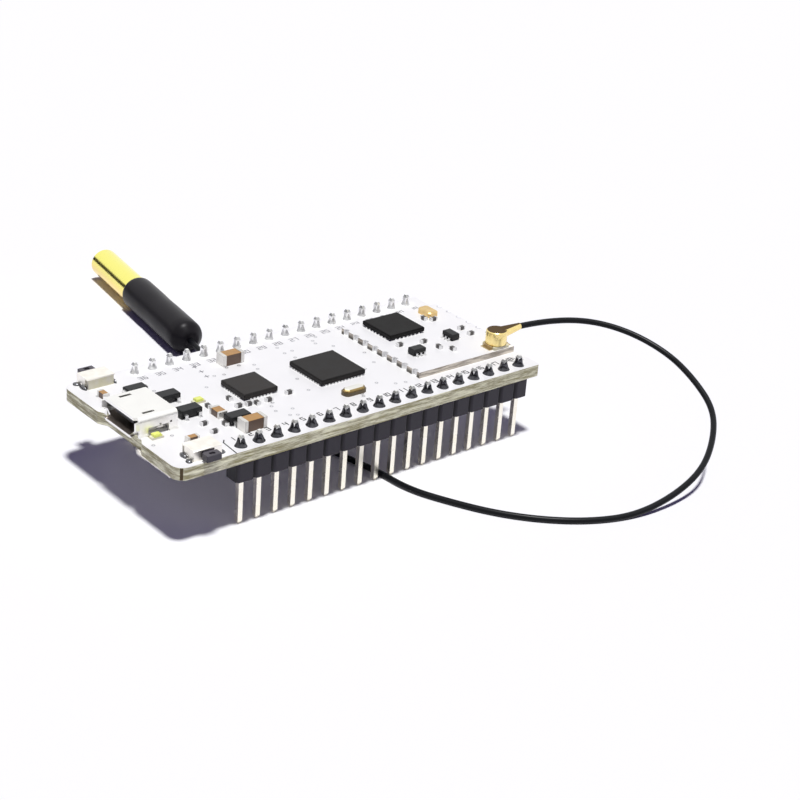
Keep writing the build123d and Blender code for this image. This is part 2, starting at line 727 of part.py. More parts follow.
# Tiny resistors and capacitors between the chips
middle_x = (bridge_x + processor_x) / 2 + middle_part_place[0]
tiny_places = from_usb_end(tiny_part_places) + [(middle_x, *middle_part_place[1:])]
with BuildPart() as resistor_bodies:
    add(ceramic_bodies(cap_tiny, tiny_places, board_top))
resistor_bodies.part.label = "resistor_bodies"
export_step(resistor_bodies.part, "parts/resistor_bodies.step")

with BuildPart() as resistor_ends:
    add(ceramic_ends(cap_tiny, tiny_places, board_top))
resistor_ends.part.label = "resistor_ends"
export_step(resistor_ends.part, "parts/resistor_ends.step")

# Status lights: a carrier with a clear lens on it
with BuildPart() as status_light_bases:
    with Locations(*turned(from_usb_end(led_places), board_top)):
        Box(*led_size, align=(Align.CENTER, Align.CENTER, Align.MIN))
status_light_bases.part.label = "status_light_bases"
export_step(status_light_bases.part, "parts/status_light_bases.step")

with BuildPart() as status_light_lenses:
    with Locations(*turned(from_usb_end(led_places), board_top + led_size[2])):
        Box(*led_lens, align=(Align.CENTER, Align.CENTER, Align.MIN))
    chamfer(status_light_lenses.edges().group_by(Axis.Z)[-1], package_edge)
status_light_lenses.part.label = "status_light_lenses"
export_step(status_light_lenses.part, "parts/status_light_lenses.step")

# Radio board: a small board with half holes down both sides, soldered flat on the main board
with BuildPart() as radio_board:
    with BuildSketch(Plane.XY.offset(board_top)):
        with Locations((radio_x, radio_y)):
            Rectangle(radio_side, radio_side)
            with GridLocations(radio_side, edge_pad_pitch, 2, edge_pad_count):
                RegularPolygon(edge_pad_r, round_sides, mode=Mode.SUBTRACT)
    extrude(amount=radio_thick)
radio_board.part.label = "radio_board"
export_step(radio_board.part, "parts/radio_board.step")

# Radio chip
with BuildPart() as radio_chip:
    with Locations((radio_chip_x, radio_chip_y, radio_top + pad_height)):
        add(package(radio_chip_side, radio_chip_side, radio_chip_height - pad_height))
radio_chip.part.label = "radio_chip"
export_step(radio_chip.part, "parts/radio_chip.step")

with BuildPart() as radio_chip_pads:
    with Locations((radio_chip_x, radio_chip_y, radio_top)):
        add(pad_ring(radio_chip_side, radio_chip_pads_per_side, radio_pad_pitch))
radio_chip_pads.part.label = "radio_chip_pads"
export_step(radio_chip_pads.part, "parts/radio_chip_pads.step")

# Radio crystal: a metal can
with BuildPart() as radio_crystal:
    with Locations((radio_crystal_x, radio_crystal_y, radio_top)):
        Box(*radio_crystal_size, align=(Align.CENTER, Align.CENTER, Align.MIN))
    chamfer(radio_crystal.edges().filter_by(Axis.Z), radio_crystal_corner)
    chamfer(radio_crystal.faces().sort_by(Axis.Z)[-1].edges(), radio_crystal_edge)
radio_crystal.part.label = "radio_crystal"
export_step(radio_crystal.part, "parts/radio_crystal.step")

# Antenna switch chips on the radio board
with BuildPart() as switch_chips:
    with Locations(*turned(switch_places, radio_top + package_edge)):
        add(package(switch_size[0], switch_size[1], switch_size[2] - package_edge))
switch_chips.part.label = "switch_chips"
export_step(switch_chips.part, "parts/switch_chips.step")

switch_lead = gull_lead(pad_width, package_edge, switch_size[2] * 0.4, pad_length)
with BuildPart() as switch_chip_leads:
    with Locations(*turned(switch_places, radio_top)):
        with Locations((0, switch_size[1] / 2, 0), Location((0, -switch_size[1] / 2, 0), (0, 0, 180))):
            with GridLocations(switch_lead_pitch, 1, 3, 1):
                add(switch_lead)
switch_chip_leads.part.label = "switch_chip_leads"
export_step(switch_chip_leads.part, "parts/switch_chip_leads.step")

# Tiny parts on the radio board
with BuildPart() as radio_part_bodies:
    add(ceramic_bodies(cap_tiny, radio_part_places, radio_top))
radio_part_bodies.part.label = "radio_part_bodies"
export_step(radio_part_bodies.part, "parts/radio_part_bodies.step")

with BuildPart() as radio_part_ends:
    add(ceramic_ends(cap_tiny, radio_part_places, radio_top))
radio_part_ends.part.label = "radio_part_ends"
export_step(radio_part_ends.part, "parts/radio_part_ends.step")

# Plating in the radio board's half holes
with BuildPart() as radio_board_pads:
    with BuildSketch(Plane.XY.offset(board_top)):
        with Locations((radio_x, radio_y)):
            with GridLocations(radio_side, edge_pad_pitch, 2, edge_pad_count):
                RegularPolygon(edge_pad_r, round_sides)
                RegularPolygon(edge_pad_r - edge_plating, round_sides, mode=Mode.SUBTRACT)
            Rectangle(radio_side, radio_side, mode=Mode.INTERSECT)
    extrude(amount=radio_thick)
radio_board_pads.part.label = "radio_board_pads"
export_step(radio_board_pads.part, "parts/radio_board_pads.step")

# Coaxial receptacle: a square plastic base
socket_plane = Plane.XY.offset(radio_top)
with BuildPart() as coax_receptacle_base:
    with BuildSketch(socket_plane):
        with Locations((socket_x, socket_y)):
            Rectangle(socket_base_side, socket_base_side)
    extrude(amount=socket_base_height)
    chamfer(coax_receptacle_base.edges().filter_by(Axis.Z), 2 * socket_sheet)
coax_receptacle_base.part.label = "coax_receptacle_base"
export_step(coax_receptacle_base.part, "parts/coax_receptacle_base.step")

# Its outer contact: a ring on a strap that folds down over the base to two feet
socket_base_top = radio_top + socket_base_height
strap_length = socket_base_side + 2 * socket_sheet
with BuildPart() as coax_receptacle_ring:
    with BuildSketch(Plane.XY.offset(socket_base_top)):
        with Locations((socket_x, socket_y)):
            Rectangle(strap_length, socket_strap_width)
            RegularPolygon(socket_ring_bore_r, 2 * round_sides, mode=Mode.SUBTRACT)
    extrude(amount=socket_sheet)
    with BuildSketch(Plane.XY.offset(socket_base_top)):
        with Locations((socket_x, socket_y)):
            RegularPolygon(socket_ring_r, 2 * round_sides)
            RegularPolygon(socket_ring_bore_r, 2 * round_sides, mode=Mode.SUBTRACT)
    extrude(amount=socket_ring_height)
    with Locations((socket_x, socket_y, radio_top)):
        with GridLocations(socket_base_side + socket_sheet, 1, 2, 1):
            Box(socket_sheet, socket_strap_width, socket_base_height + socket_sheet,
                align=(Align.CENTER, Align.CENTER, Align.MIN))
        with GridLocations(strap_length + socket_foot_reach, 1, 2, 1):
            Box(socket_foot_reach, socket_strap_width, socket_sheet,
                align=(Align.CENTER, Align.CENTER, Align.MIN))
coax_receptacle_ring.part.label = "coax_receptacle_ring"
export_step(coax_receptacle_ring.part, "parts/coax_receptacle_ring.step")

# Its centre contact: a pin inside the ring, and the tail that meets the board
with BuildPart() as coax_receptacle_pin:
    with BuildSketch(Plane.XY.offset(socket_base_top)):
        with Locations((socket_x, socket_y)):
            RegularPolygon(socket_pin_r, round_sides)
    extrude(amount=socket_pin_height)
    chamfer(coax_receptacle_pin.edges().group_by(Axis.Z)[-1], socket_pin_r / 3)
    with Locations((socket_x, socket_y + socket_base_side / 2, radio_top)):
        Box(socket_tail_width, socket_foot_reach, socket_sheet,
            align=(Align.CENTER, Align.MIN, Align.MIN))
coax_receptacle_pin.part.label = "coax_receptacle_pin"
export_step(coax_receptacle_pin.part, "parts/coax_receptacle_pin.step")

# Coaxial plug: a cap that snaps over the ring, its neck folded round the lead
plug_bottom = socket_base_top + socket_sheet + plug_lift
plug_bore_r = socket_ring_r + plug_fit
plug_bore_top = socket_base_top + socket_ring_height + 2 * plug_fit
plug_plane = Plane(
    origin=(socket_x, socket_y, lead_axis_z),
    x_dir=(-sin(radians(plug_turn)), cos(radians(plug_turn)), 0),
    z_dir=(cos(radians(plug_turn)), sin(radians(plug_turn)), 0),
)
with BuildPart() as coax_plug:
    with BuildSketch(Plane.XY.offset(plug_bottom)):
        with Locations((socket_x, socket_y)):
            Circle(plug_r)
    extrude(amount=plug_height)
    chamfer(coax_plug.edges().group_by(Axis.Z)[-1], plug_edge)
    neck_root_z = plug_bottom + plug_height - plug_neck_root[1] / 2 - lead_axis_z
    with BuildSketch(plug_plane.offset(plug_r / 2)) as neck_root:
        with Locations((0, neck_root_z)):
            Rectangle(*plug_neck_root)
        chamfer(neck_root.vertices(), plug_neck_bevel)
    with BuildSketch(plug_plane.offset(plug_neck_end)):
        RegularPolygon(plug_neck_end_r, round_sides, rotation=180 / round_sides)
    loft(ruled=True)
    with BuildSketch(Plane.XY.offset(plug_bottom)):
        with Locations((socket_x, socket_y)):
            Circle(plug_bore_r)
    extrude(amount=plug_bore_top - plug_bottom, mode=Mode.SUBTRACT)
coax_plug.part.label = "coax_plug"
export_step(coax_plug.part, "parts/coax_plug.step")

# The plug's insulator, which carries its centre contact round the receptacle's pin
with BuildPart() as coax_plug_insert:
    with BuildSketch(Plane.XY.offset(socket_base_top + insert_lift)):
        with Locations((socket_x, socket_y)):
            RegularPolygon(socket_ring_bore_r - insert_clearance, 2 * round_sides)
            RegularPolygon(socket_pin_r + insert_clearance, round_sides, mode=Mode.SUBTRACT)
    extrude(amount=plug_bore_top - socket_base_top - insert_lift)
coax_plug_insert.part.label = "coax_plug_insert"
export_step(coax_plug_insert.part, "parts/coax_plug_insert.step")

# Antenna: a brass tube, open at its far end, and the sleeve that holds it and the lead
antenna_plane = Plane(
    origin=(antenna_end_x, antenna_end_y, antenna_r),
    z_dir=(cos(radians(antenna_turn)), sin(radians(antenna_turn)), 0),
)
tube_plane = antenna_plane.offset(sleeve_length - tube_covered)
with BuildPart() as antenna_sleeve:
    with BuildSketch(antenna_plane):
        Circle(antenna_r)
    extrude(amount=sleeve_length)
    sleeve_edges = antenna_sleeve.edges().filter_by(GeomType.CIRCLE)
    chamfer(sleeve_edges.sort_by_distance((antenna_end_x, antenna_end_y, antenna_r))[0],
            sleeve_end_bevel)
    with BuildSketch(tube_plane):
        Circle(tube_r)
    extrude(amount=tube_covered, mode=Mode.SUBTRACT)
antenna_sleeve.part.label = "antenna_sleeve"
export_step(antenna_sleeve.part, "parts/antenna_sleeve.step")

with BuildPart() as antenna_tube:
    with BuildSketch(tube_plane):
        Circle(tube_r)
        Circle(tube_r - tube_wall, mode=Mode.SUBTRACT)
    extrude(amount=tube_covered + tube_exposed)
antenna_tube.part.label = "antenna_tube"
export_step(antenna_tube.part, "parts/antenna_tube.step")

# Lead: straight runs joined by the widest arcs that fit between them
neck_end = plug_plane.offset(plug_neck_end).origin
last_bend = plug_plane.offset(plug_neck_end + lead_last_run).origin
lead_points = [antenna_plane.origin] + [Vector(*p) for p in lead_route] + [last_bend, neck_end]
lead_radii = []
for before, here, after in zip(lead_points, lead_points[1:], lead_points[2:]):
    bend = (here - before).get_angle(after - here)
    shorter_run = min((here - before).length, (after - here).length)
    lead_radii.append(lead_bend_share * shorter_run / tan(radians(bend / 2)))
print("lead radii", [round(r, 1) for r in lead_radii])

with BuildPart() as antenna_lead:
    with BuildLine() as lead_path:
        FilletPolyline(*lead_points, radius=lead_radii)
    with BuildSketch(antenna_plane) as lead_section:
        RegularPolygon(cable_r, least_sides)
    sweep(path=lead_path.line)
lead_length = sum(edge.length for edge in lead_path.edges())
print("lead length", round(lead_length, 2), "volume over section times length",
      round(antenna_lead.part.volume / (lead_section.sketch.area * lead_length), 4))
antenna_lead.part.label = "antenna_lead"
export_step(antenna_lead.part, "parts/antenna_lead.step")

# Battery socket under the board: an open box with a latch notch, its mouth towards the USB end
battery_mouth_x = battery_x - battery_depth / 2
battery_mid_z = board_bottom - battery_height / 2
with BuildPart() as battery_socket_housing:
    with Locations((battery_x, battery_y, battery_mid_z)):
        Box(battery_depth, battery_width, battery_height)
    with Locations((battery_mouth_x, battery_y, battery_mid_z)):
        Box(battery_depth - battery_wall, battery_width - 2 * battery_wall,
            battery_height - 2 * battery_wall, align=(Align.MIN, Align.CENTER, Align.CENTER),
            mode=Mode.SUBTRACT)
    with Locations((battery_mouth_x, battery_y, board_bottom - battery_height)):
        Box(battery_notch_depth, battery_notch_width, battery_wall,
            align=(Align.MIN, Align.CENTER, Align.MIN), mode=Mode.SUBTRACT)
    with Locations((battery_x + battery_depth / 2, battery_y, battery_mid_z)):
        with GridLocations(1, battery_pin_pitch, 1, 2):
            Box(battery_wall, battery_pin_side, battery_pin_side,
                align=(Align.MAX, Align.CENTER, Align.CENTER), mode=Mode.SUBTRACT)
battery_socket_housing.part.label = "battery_socket_housing"
export_step(battery_socket_housing.part, "parts/battery_socket_housing.step")

# Battery contacts: two pins with tails up to the board, and a solder tab on each side
battery_pin_length = battery_depth - battery_pin_recess + battery_tail
with BuildPart() as battery_socket_contacts:
    with Locations((battery_mouth_x + battery_pin_recess, battery_y, battery_mid_z)):
        with GridLocations(1, battery_pin_pitch, 1, 2):
            Box(battery_pin_length, battery_pin_side, battery_pin_side,
                align=(Align.MIN, Align.CENTER, Align.CENTER))
    with Locations((battery_x + battery_depth / 2 + battery_tail, battery_y, board_bottom)):
        with GridLocations(1, battery_pin_pitch, 1, 2):
            Box(battery_pin_side, battery_pin_side, battery_height / 2,
                align=(Align.MAX, Align.CENTER, Align.MAX))
    with Locations((battery_x, battery_y, board_bottom)):
        with GridLocations(1, battery_width + battery_pin_side, 1, 2):
            Box(battery_tab_length, battery_pin_side, battery_tab_height,
                align=(Align.CENTER, Align.CENTER, Align.MAX))
        with GridLocations(1, battery_width + 2 * battery_pin_side + battery_tab_reach, 1, 2):
            Box(battery_tab_length, battery_tab_reach, battery_pin_side,
                align=(Align.CENTER, Align.CENTER, Align.MAX))
battery_socket_contacts.part.label = "battery_socket_contacts"
export_step(battery_socket_contacts.part, "parts/battery_socket_contacts.step")
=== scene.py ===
# %% [markdown]
# # A long-range radio module, dressed in Blender
# The object is a small white circuit board on two rows of pins. It carries a USB socket, two side
# push buttons, a stacked radio board, and a thin black lead that runs from a gold plug, round and
# under the board, to a short antenna. Its solids come from the CAD model. This lesson gives each of
# them its real finish, and adds what is too thin or too fine for a solid: ink, plated holes, solder
# with hollow sides, and the smooth curve of the lead.

# %% Load the frame
from math import cos, pi, radians, sin
from random import seed, uniform

import bmesh
import bpy
from mathutils import Matrix, Vector


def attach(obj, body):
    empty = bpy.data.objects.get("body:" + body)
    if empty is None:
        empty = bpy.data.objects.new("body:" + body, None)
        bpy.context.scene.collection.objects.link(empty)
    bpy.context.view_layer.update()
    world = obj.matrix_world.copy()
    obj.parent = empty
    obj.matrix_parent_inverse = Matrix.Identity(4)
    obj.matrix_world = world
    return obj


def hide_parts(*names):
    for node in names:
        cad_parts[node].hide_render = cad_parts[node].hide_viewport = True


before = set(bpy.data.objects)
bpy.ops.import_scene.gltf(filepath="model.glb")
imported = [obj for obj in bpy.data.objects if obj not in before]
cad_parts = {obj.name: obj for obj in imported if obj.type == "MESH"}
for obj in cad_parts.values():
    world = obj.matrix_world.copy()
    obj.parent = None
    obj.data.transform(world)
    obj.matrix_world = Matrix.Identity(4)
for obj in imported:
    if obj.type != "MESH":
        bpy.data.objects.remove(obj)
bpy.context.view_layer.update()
MM = 0.001

# %% [markdown]
# ## The camera
# The photograph looks down on the board's USB end from the left. A camera has a place, a heading, a
# tilt and a slight roll. Blender's camera looks along its own -Z, with +Y up, so a matrix with the
# view's right, up and backward directions as columns sets all three at once. That is exact, where
# a chain of Euler angles would be hard to read. Blender shows an object only once it is linked to a
# collection, which `stand` does for this and every later object.

# %% Place the camera
def stand(name, data):
    thing = bpy.data.objects.new(name, data)
    bpy.context.scene.collection.objects.link(thing)
    return thing


camera_place = Vector((-130.676, -167.872, 109.849))
heading, tilt, roll = radians(-41.06), radians(25.69), radians(4.44)
forward = Vector((sin(-heading) * cos(tilt), cos(heading) * cos(tilt), -sin(tilt)))
level_right = forward.cross(Vector((0, 0, 1))).normalized()
level_up = level_right.cross(forward)
right = cos(roll) * level_right + sin(roll) * level_up
up = -sin(roll) * level_right + cos(roll) * level_up

camera = stand("camera", bpy.data.cameras.new("camera"))
facing = Matrix((right, up, -forward)).transposed().to_4x4()
camera.matrix_world = Matrix.Translation(camera_place * MM) @ facing
camera.data.sensor_width = 36.0
camera.data.lens = 84.776
camera.data.clip_start = 0.01
bpy.context.scene.camera = camera
print("camera", [round(v, 4) for v in camera.location], "lens", camera.data.lens)

# %% [markdown]
# ## The lead
# The lead is a thin coaxial cable with a black jacket. It leaves the plug's neck, swings out beside
# the board, comes down to the table, and runs back under the board to the antenna. A row of straight
# tubes would look like bent wire. A NURBS curve with a few control points gives one smooth line, and
# its round bevel is the jacket. The order is set after the points are added, because a spline with
# too few points cuts its order down.

# %% Lay the lead
CABLE_R = 0.4 * MM
lead_route = [
    (29.1359, -6.9725, 13.0), (33.3697, -7.3429, 13.0), (39.1, -9.6, 12.7), (43.05, -13.6, 11.7),
    (45.4, -18.7, 10.0), (44.9, -24.0, 8.6), (43.85, -28.9, 6.55), (40.1, -32.7, 4.8),
    (35.25, -35.55, 3.0), (29.45, -36.4, 1.4), (23.15, -36.1, 0.42), (17.65, -34.25, 0.41),
    (12.9, -30.9, 0.41), (9.05, -26.6, 0.41), (6.1, -21.4, 0.41), (3.85, -16.3, 0.41),
    (3.5, -10.7, 0.41), (2.2, -4.6, 0.41), (1.4, 2.0, 0.41), (0.95, 8.5, 0.41), (1.0, 14.2, 0.41),
    (1.35, 20.2, 0.45), (1.92, 25.35, 2.4), (2.65, 30.0, 2.45),
]


def smooth_line(name, route, radius, steps):
    curve = bpy.data.curves.new(name, "CURVE")
    curve.dimensions = "3D"
    curve.bevel_depth = radius
    curve.resolution_u = steps
    spline = curve.splines.new("NURBS")
    spline.points.add(len(route) - 1)
    for point, place in zip(spline.points, route):
        point.co = (*[v * MM for v in place], 1.0)
    spline.order_u = 3
    return stand(name, curve), spline


lead, lead_spline = smooth_line("lead", lead_route, CABLE_R, steps=8)
lead.data.bevel_resolution = 4
lead.data.use_fill_caps = True
lead_spline.use_endpoint_u = True
print("lead points", len(lead_route), "length mm", round(lead_spline.calc_length() / MM, 1))

# %% [markdown]
# ## Small helpers for shader nodes
# A node tree is easier to read when each node is one line. `put` adds a node, sets its options, and
# gives each input a number, a colour, or another node's output. The others are the nodes that this
# lesson needs most: arithmetic, a clamped ramp, a mix of two colours or of two values, the place of
# the shaded point, and a vector's three parts. A ramp that should fall instead of rise has its low
# and high swapped. A colour socket wants a fourth number, which `rgb` adds.

# %% Node helpers
def put(tree, kind, inputs=(), **options):
    node = tree.nodes.new("ShaderNode" + kind)
    for name, setting in options.items():
        setattr(node, name, setting)
    for name, value in dict(inputs).items():
        if isinstance(value, bpy.types.NodeSocket):
            tree.links.new(value, node.inputs[name])
        else:
            node.inputs[name].default_value = value
    return node


def maths(tree, operation, *values, clamp=False):
    return put(tree, "Math", enumerate(values), operation=operation, use_clamp=clamp).outputs[0]


def ramp(tree, value, start, end, low=0.0, high=1.0):
    return put(tree, "MapRange", {0: value, 1: start, 2: end, 3: low, 4: high}).outputs[0]


def mix_colours(tree, mask, off, on):
    return put(tree, "Mix", {0: mask, 6: off, 7: on}, data_type="RGBA").outputs[2]


def mix_values(tree, mask, off, on):
    return put(tree, "Mix", {0: mask, 2: off, 3: on}).outputs[0]


def object_place(tree):
    return put(tree, "TexCoord").outputs["Object"]


def parts_of(tree, vector):
    return put(tree, "SeparateXYZ", {0: vector}).outputs


def rgb(r, g, b):
    return (r, g, b, 1.0)


print("node helpers ready")

# %% [markdown]
# ## The light
# The module stands on a plain white floor under one lamp that is almost overhead, so its shadow lies
# close under the board. A sun lamp gives the same level everywhere, where a near area lamp would
# fade across the floor, and the width of its disc softens the shadow's edge a little. The world is
# white for the camera and for reflections, and a dim violet-blue fill for everything else, which is
# what tints the shadow. The Light Path node tells the two kinds of ray apart.

# %% Lamp and world
def sees_background(tree):
    rays = put(tree, "LightPath").outputs
    camera_or_gloss = maths(tree, "MAXIMUM", rays["Is Camera Ray"], rays["Is Glossy Ray"])
    return maths(tree, "MAXIMUM", camera_or_gloss, rays["Is Transmission Ray"])


lamp_side, lamp_height = radians(-113), radians(80.5)
to_lamp = Vector((cos(lamp_side) * cos(lamp_height), sin(lamp_side) * cos(lamp_height),
                  sin(lamp_height)))
lamp = stand("key_lamp", bpy.data.lights.new("key_lamp", "SUN"))
lamp.data.energy = 3.0
lamp.data.angle = radians(6.5)
lamp.rotation_mode = "QUATERNION"
lamp.rotation_quaternion = to_lamp.to_track_quat("Z", "Y")

world = bpy.data.worlds.new("studio")
world.use_nodes = True
bpy.context.scene.world = world
tree = world.node_tree
tree.nodes.clear()
fill_light = put(tree, "Background", {"Color": rgb(0.5, 0.42, 1.0), "Strength": 0.112}).outputs[0]
white_room = put(tree, "Background", {"Color": rgb(1, 1, 1), "Strength": 1.0}).outputs[0]
room = put(tree, "MixShader", {0: sees_background(tree), 1: fill_light, 2: white_room}).outputs[0]
put(tree, "OutputWorld", {"Surface": room})
bpy.context.scene.view_settings.view_transform = "Standard"
print("lamp from", [round(v, 3) for v in to_lamp])

# %% [markdown]
# ## Effects shared by several finishes
# Three effects come back in many materials, so each is a node group with named inputs and outputs.
# *Mottle* drifts between two colours, as every real surface does. *Grain* is the fine unevenness of
# moulded plastic, fired ceramic or cast solder. Both take their scale in millimetres, so it is the
# same on every piece. *Facing up* masks the faces that look upward, or up and down alike, for
# pieces whose top and side differ.

# %% Groups of nodes
def group(name, inputs, outputs):
    tree = bpy.data.node_groups.new(name, "ShaderNodeTree")
    for label, kind, start in inputs:
        socket = tree.interface.new_socket(label, in_out="INPUT", socket_type="NodeSocket" + kind)
        socket.default_value = start
    for label, kind in outputs:
        tree.interface.new_socket(label, in_out="OUTPUT", socket_type="NodeSocket" + kind)
    got, give = tree.nodes.new("NodeGroupInput").outputs, tree.nodes.new("NodeGroupOutput").inputs
    return tree, got, give


def use(tree, node_group, **inputs):
    named = {name.replace("_", " "): value for name, value in inputs.items()}
    return put(tree, "Group", named, node_tree=node_group).outputs


print("groups can be built")

# %% Mottle
mottle, got, give = group("mottle", [
    ("Light", "Color", rgb(1, 1, 1)), ("Dark", "Color", rgb(0.5, 0.5, 0.5)),
    ("Size mm", "Float", 1.0), ("Contrast", "Float", 1.0)], [("Color", "Color"), ("Mask", "Float")])
per_metre = maths(mottle, "DIVIDE", 1 / MM, got["Size mm"])
patches = put(mottle, "TexNoise", {"Vector": object_place(mottle), "Scale": per_metre,
                                   "Detail": 3.0}).outputs["Fac"]
centred = maths(mottle, "SUBTRACT", patches, 0.5)
spread = maths(mottle, "MULTIPLY_ADD", centred, got["Contrast"], 0.5, clamp=True)
mottle.links.new(mix_colours(mottle, spread, got["Dark"], got["Light"]), give["Color"])
mottle.links.new(spread, give["Mask"])
print("group", mottle.name)

# %% Grain
grain, got, give = group("grain", [("Size mm", "Float", 0.1)], [("Height", "Float")])
place = object_place(grain)
per_metre = maths(grain, "DIVIDE", 1 / MM, got["Size mm"])
fine = put(grain, "TexNoise", {"Vector": place, "Scale": per_metre, "Detail": 4.0,
                               "Roughness": 0.6}).outputs["Fac"]
cells = put(grain, "TexVoronoi", {"Vector": place, "Scale": per_metre}).outputs["Distance"]
grain.links.new(maths(grain, "ADD", fine, cells), give["Height"])
print("group", grain.name)

# %% Facing up
facing_up, got, give = group("facing_up", [("Start", "Float", 0.5), ("End", "Float", 0.8)],
                             [("Up", "Float"), ("Level", "Float")])
slope = parts_of(facing_up, put(facing_up, "NewGeometry").outputs["Normal"])["Z"]
either_way = maths(facing_up, "ABSOLUTE", slope)
facing_up.links.new(ramp(facing_up, slope, got["Start"], got["End"]), give["Up"])
facing_up.links.new(ramp(facing_up, either_way, got["Start"], got["End"]), give["Level"])
print("group", facing_up.name)

# %% [markdown]
# ## A plain recipe for a finish
# Most finishes here are the same recipe with other numbers: two close colours in patches, a
# roughness that follows the patches, and a fine bump. `finish` builds that material. The numbers
# that don't vary over the surface, such as how metallic it is, sit on the shader itself. Where a
# piece has a second look on some of its faces, `paint_over` mixes that in by a mask: where the mask
# is 1, or, for a look that belongs outside the mask, where it is 0.

# %% The recipe
def shader_of(material):
    return material.node_tree.nodes["Principled BSDF"]


def finish(name, light, dark, rough=(0.4, 0.5), metal=0.0, patch=1.0, contrast=2.0,
           bump=0.2, grain_size=0.1, depth=0.01, coat=0.0, specular=0.5):
    material = bpy.data.materials.new(name)
    material.use_nodes = True
    tree, shader = material.node_tree, shader_of(material)
    drift = use(tree, mottle, Light=rgb(*light), Dark=rgb(*dark), Size_mm=patch, Contrast=contrast)
    relief = use(tree, grain, Size_mm=grain_size)
    dull = ramp(tree, drift["Mask"], 0.0, 1.0, *rough)
    lift = put(tree, "Bump", {"Height": relief["Height"], "Strength": bump, "Distance": depth * MM})
    tree.links.new(drift["Color"], shader.inputs["Base Color"])
    tree.links.new(dull, shader.inputs["Roughness"])
    tree.links.new(lift.outputs[0], shader.inputs["Normal"])
    shader.inputs["Metallic"].default_value = metal
    shader.inputs["Coat Weight"].default_value = coat
    shader.inputs["Specular IOR Level"].default_value = specular
    material.diffuse_color = rgb(*light)
    return material


def paint_over(material, mask, colour, rough=None, outside=False):
    tree, shader = material.node_tree, shader_of(material)
    changes = [("Base Color", mix_colours, colour)]
    if rough is not None:
        changes.append(("Roughness", mix_values, rough))
    for name, mix, new in changes:
        usual = shader.inputs[name].links[0].from_socket
        off, on = (new, usual) if outside else (usual, new)
        tree.links.new(mix(tree, mask, off, on), shader.inputs[name])


print("recipe ready")

# %% [markdown]
# ## Where the board lies
# Later steps need the board's top, bottom and USB end, and where the pins stand. They are measured
# on the frame's own solids, in millimetres, so nothing has to be typed in twice. Only the pins'
# pitch and width are given, as they are standard for such headers.

# %% Measure the board and the pins
PIN_PITCH, PIN_WIDTH = 2.54, 0.64


def reach(node):
    spans = []
    for axis in range(3):
        places = [point.co[axis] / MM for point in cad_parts[node].data.vertices]
        spans.append((round(min(places), 3), round(max(places), 3)))
    return spans


def middle(span):
    return (span[0] + span[1]) / 2


board_x, board_y, (BOARD_BOTTOM, BOARD_TOP) = reach("main_board")
pins_x, pins_y, _ = reach("back_header_pins")
FIRST_PIN_X = pins_x[0] + PIN_WIDTH / 2
PIN_COUNT = 1 + round((pins_x[1] - PIN_WIDTH / 2 - FIRST_PIN_X) / PIN_PITCH)
PIN_XS = [FIRST_PIN_X + PIN_PITCH * i for i in range(PIN_COUNT)]
ROW_Y = middle(pins_y)
print("board top", BOARD_TOP, "bottom", BOARD_BOTTOM, "pins", PIN_COUNT, "rows at", ROW_Y)

# %% [markdown]
# ## The board
# A circuit board is glass cloth in resin, with copper on both sides under a coat of white ink
# called solder mask. From above it is smooth and white. Its sawn edge shows the greenish-tan
# laminate, with paler streaks of glass, whose cut fibres glint like metal. One material does both,
# mixed by whether a face lies level, because the board is one solid. The streaks are noise that is
# squeezed in height, so that it runs along the edge.

# %% Board material
def board_finish(name, edge_light, edge_dark):
    material = finish(name, (0.945, 0.94, 0.92), (0.915, 0.91, 0.89), rough=(0.34, 0.45),
                      patch=4.0, bump=0.1, grain_size=0.5, depth=0.01)
    tree, shader = material.node_tree, shader_of(material)
    squeeze = (350, 350, 4200)
    long_place = put(tree, "Mapping", {"Vector": object_place(tree), "Scale": squeeze}).outputs[0]
    streaks = put(tree, "TexNoise", {"Vector": long_place, "Scale": 1.0, "Detail": 5.0,
                                     "Roughness": 0.75}).outputs["Fac"]
    cloth = ramp(tree, streaks, 0.42, 0.56)
    edge = mix_colours(tree, cloth, rgb(*edge_dark), rgb(*edge_light))
    fibre = ramp(tree, streaks, 0.5, 0.62, 0.0, 0.55)
    level = use(tree, facing_up, Start=0.5, End=0.8)["Level"]
    paint_over(material, level, edge, rough=0.55, outside=True)
    tree.links.new(mix_values(tree, level, fibre, 0.0), shader.inputs["Metallic"])
    return material


board_white = board_finish("board_white", (1.0, 0.985, 0.72), (0.52, 0.48, 0.22))
radio_white = board_finish("radio_board_white", (0.78, 0.72, 0.62), (0.4, 0.35, 0.28))
print("board materials", board_white.name, radio_white.name)

# %% [markdown]
# ## Painted shade on the radio board's end
# The lower half of the radio board's end, on the side of the socket, faces away from the lamp, and
# its shade is painted on as a dark line. It could be a strip of its own, but a mask costs no mesh and
# stays with the board. The mask is the faces that look that way, multiplied by one of height, which
# fades out half way up the radio board.

# %% Paint shade on the lower half of that end
tree = radio_white.node_tree
sideways = parts_of(tree, put(tree, "NewGeometry").outputs["Normal"])["X"]
to_usb = ramp(tree, sideways, -0.5, -0.8)
height = parts_of(tree, object_place(tree))["Z"]
lower = ramp(tree, height, (BOARD_TOP + 0.26) * MM, (BOARD_TOP + 0.56) * MM, 1.0, 0.0)
# Painted shade: the end's lower half faces away from the lamp and is painted dark.
paint_over(radio_white, maths(tree, "MULTIPLY", to_usb, lower), rgb(0.12, 0.11, 0.09))
print("radio board's end darkened")

# %% [markdown]
# ## Plastics
# Header strips, chip packages and switch bodies are black moulded plastic, each with its own
# shade and grain. Header plastic is a soft dark grey. Chip packages have an even, finely etched
# top. The lead's jacket and the antenna's sleeve are the glossiest.

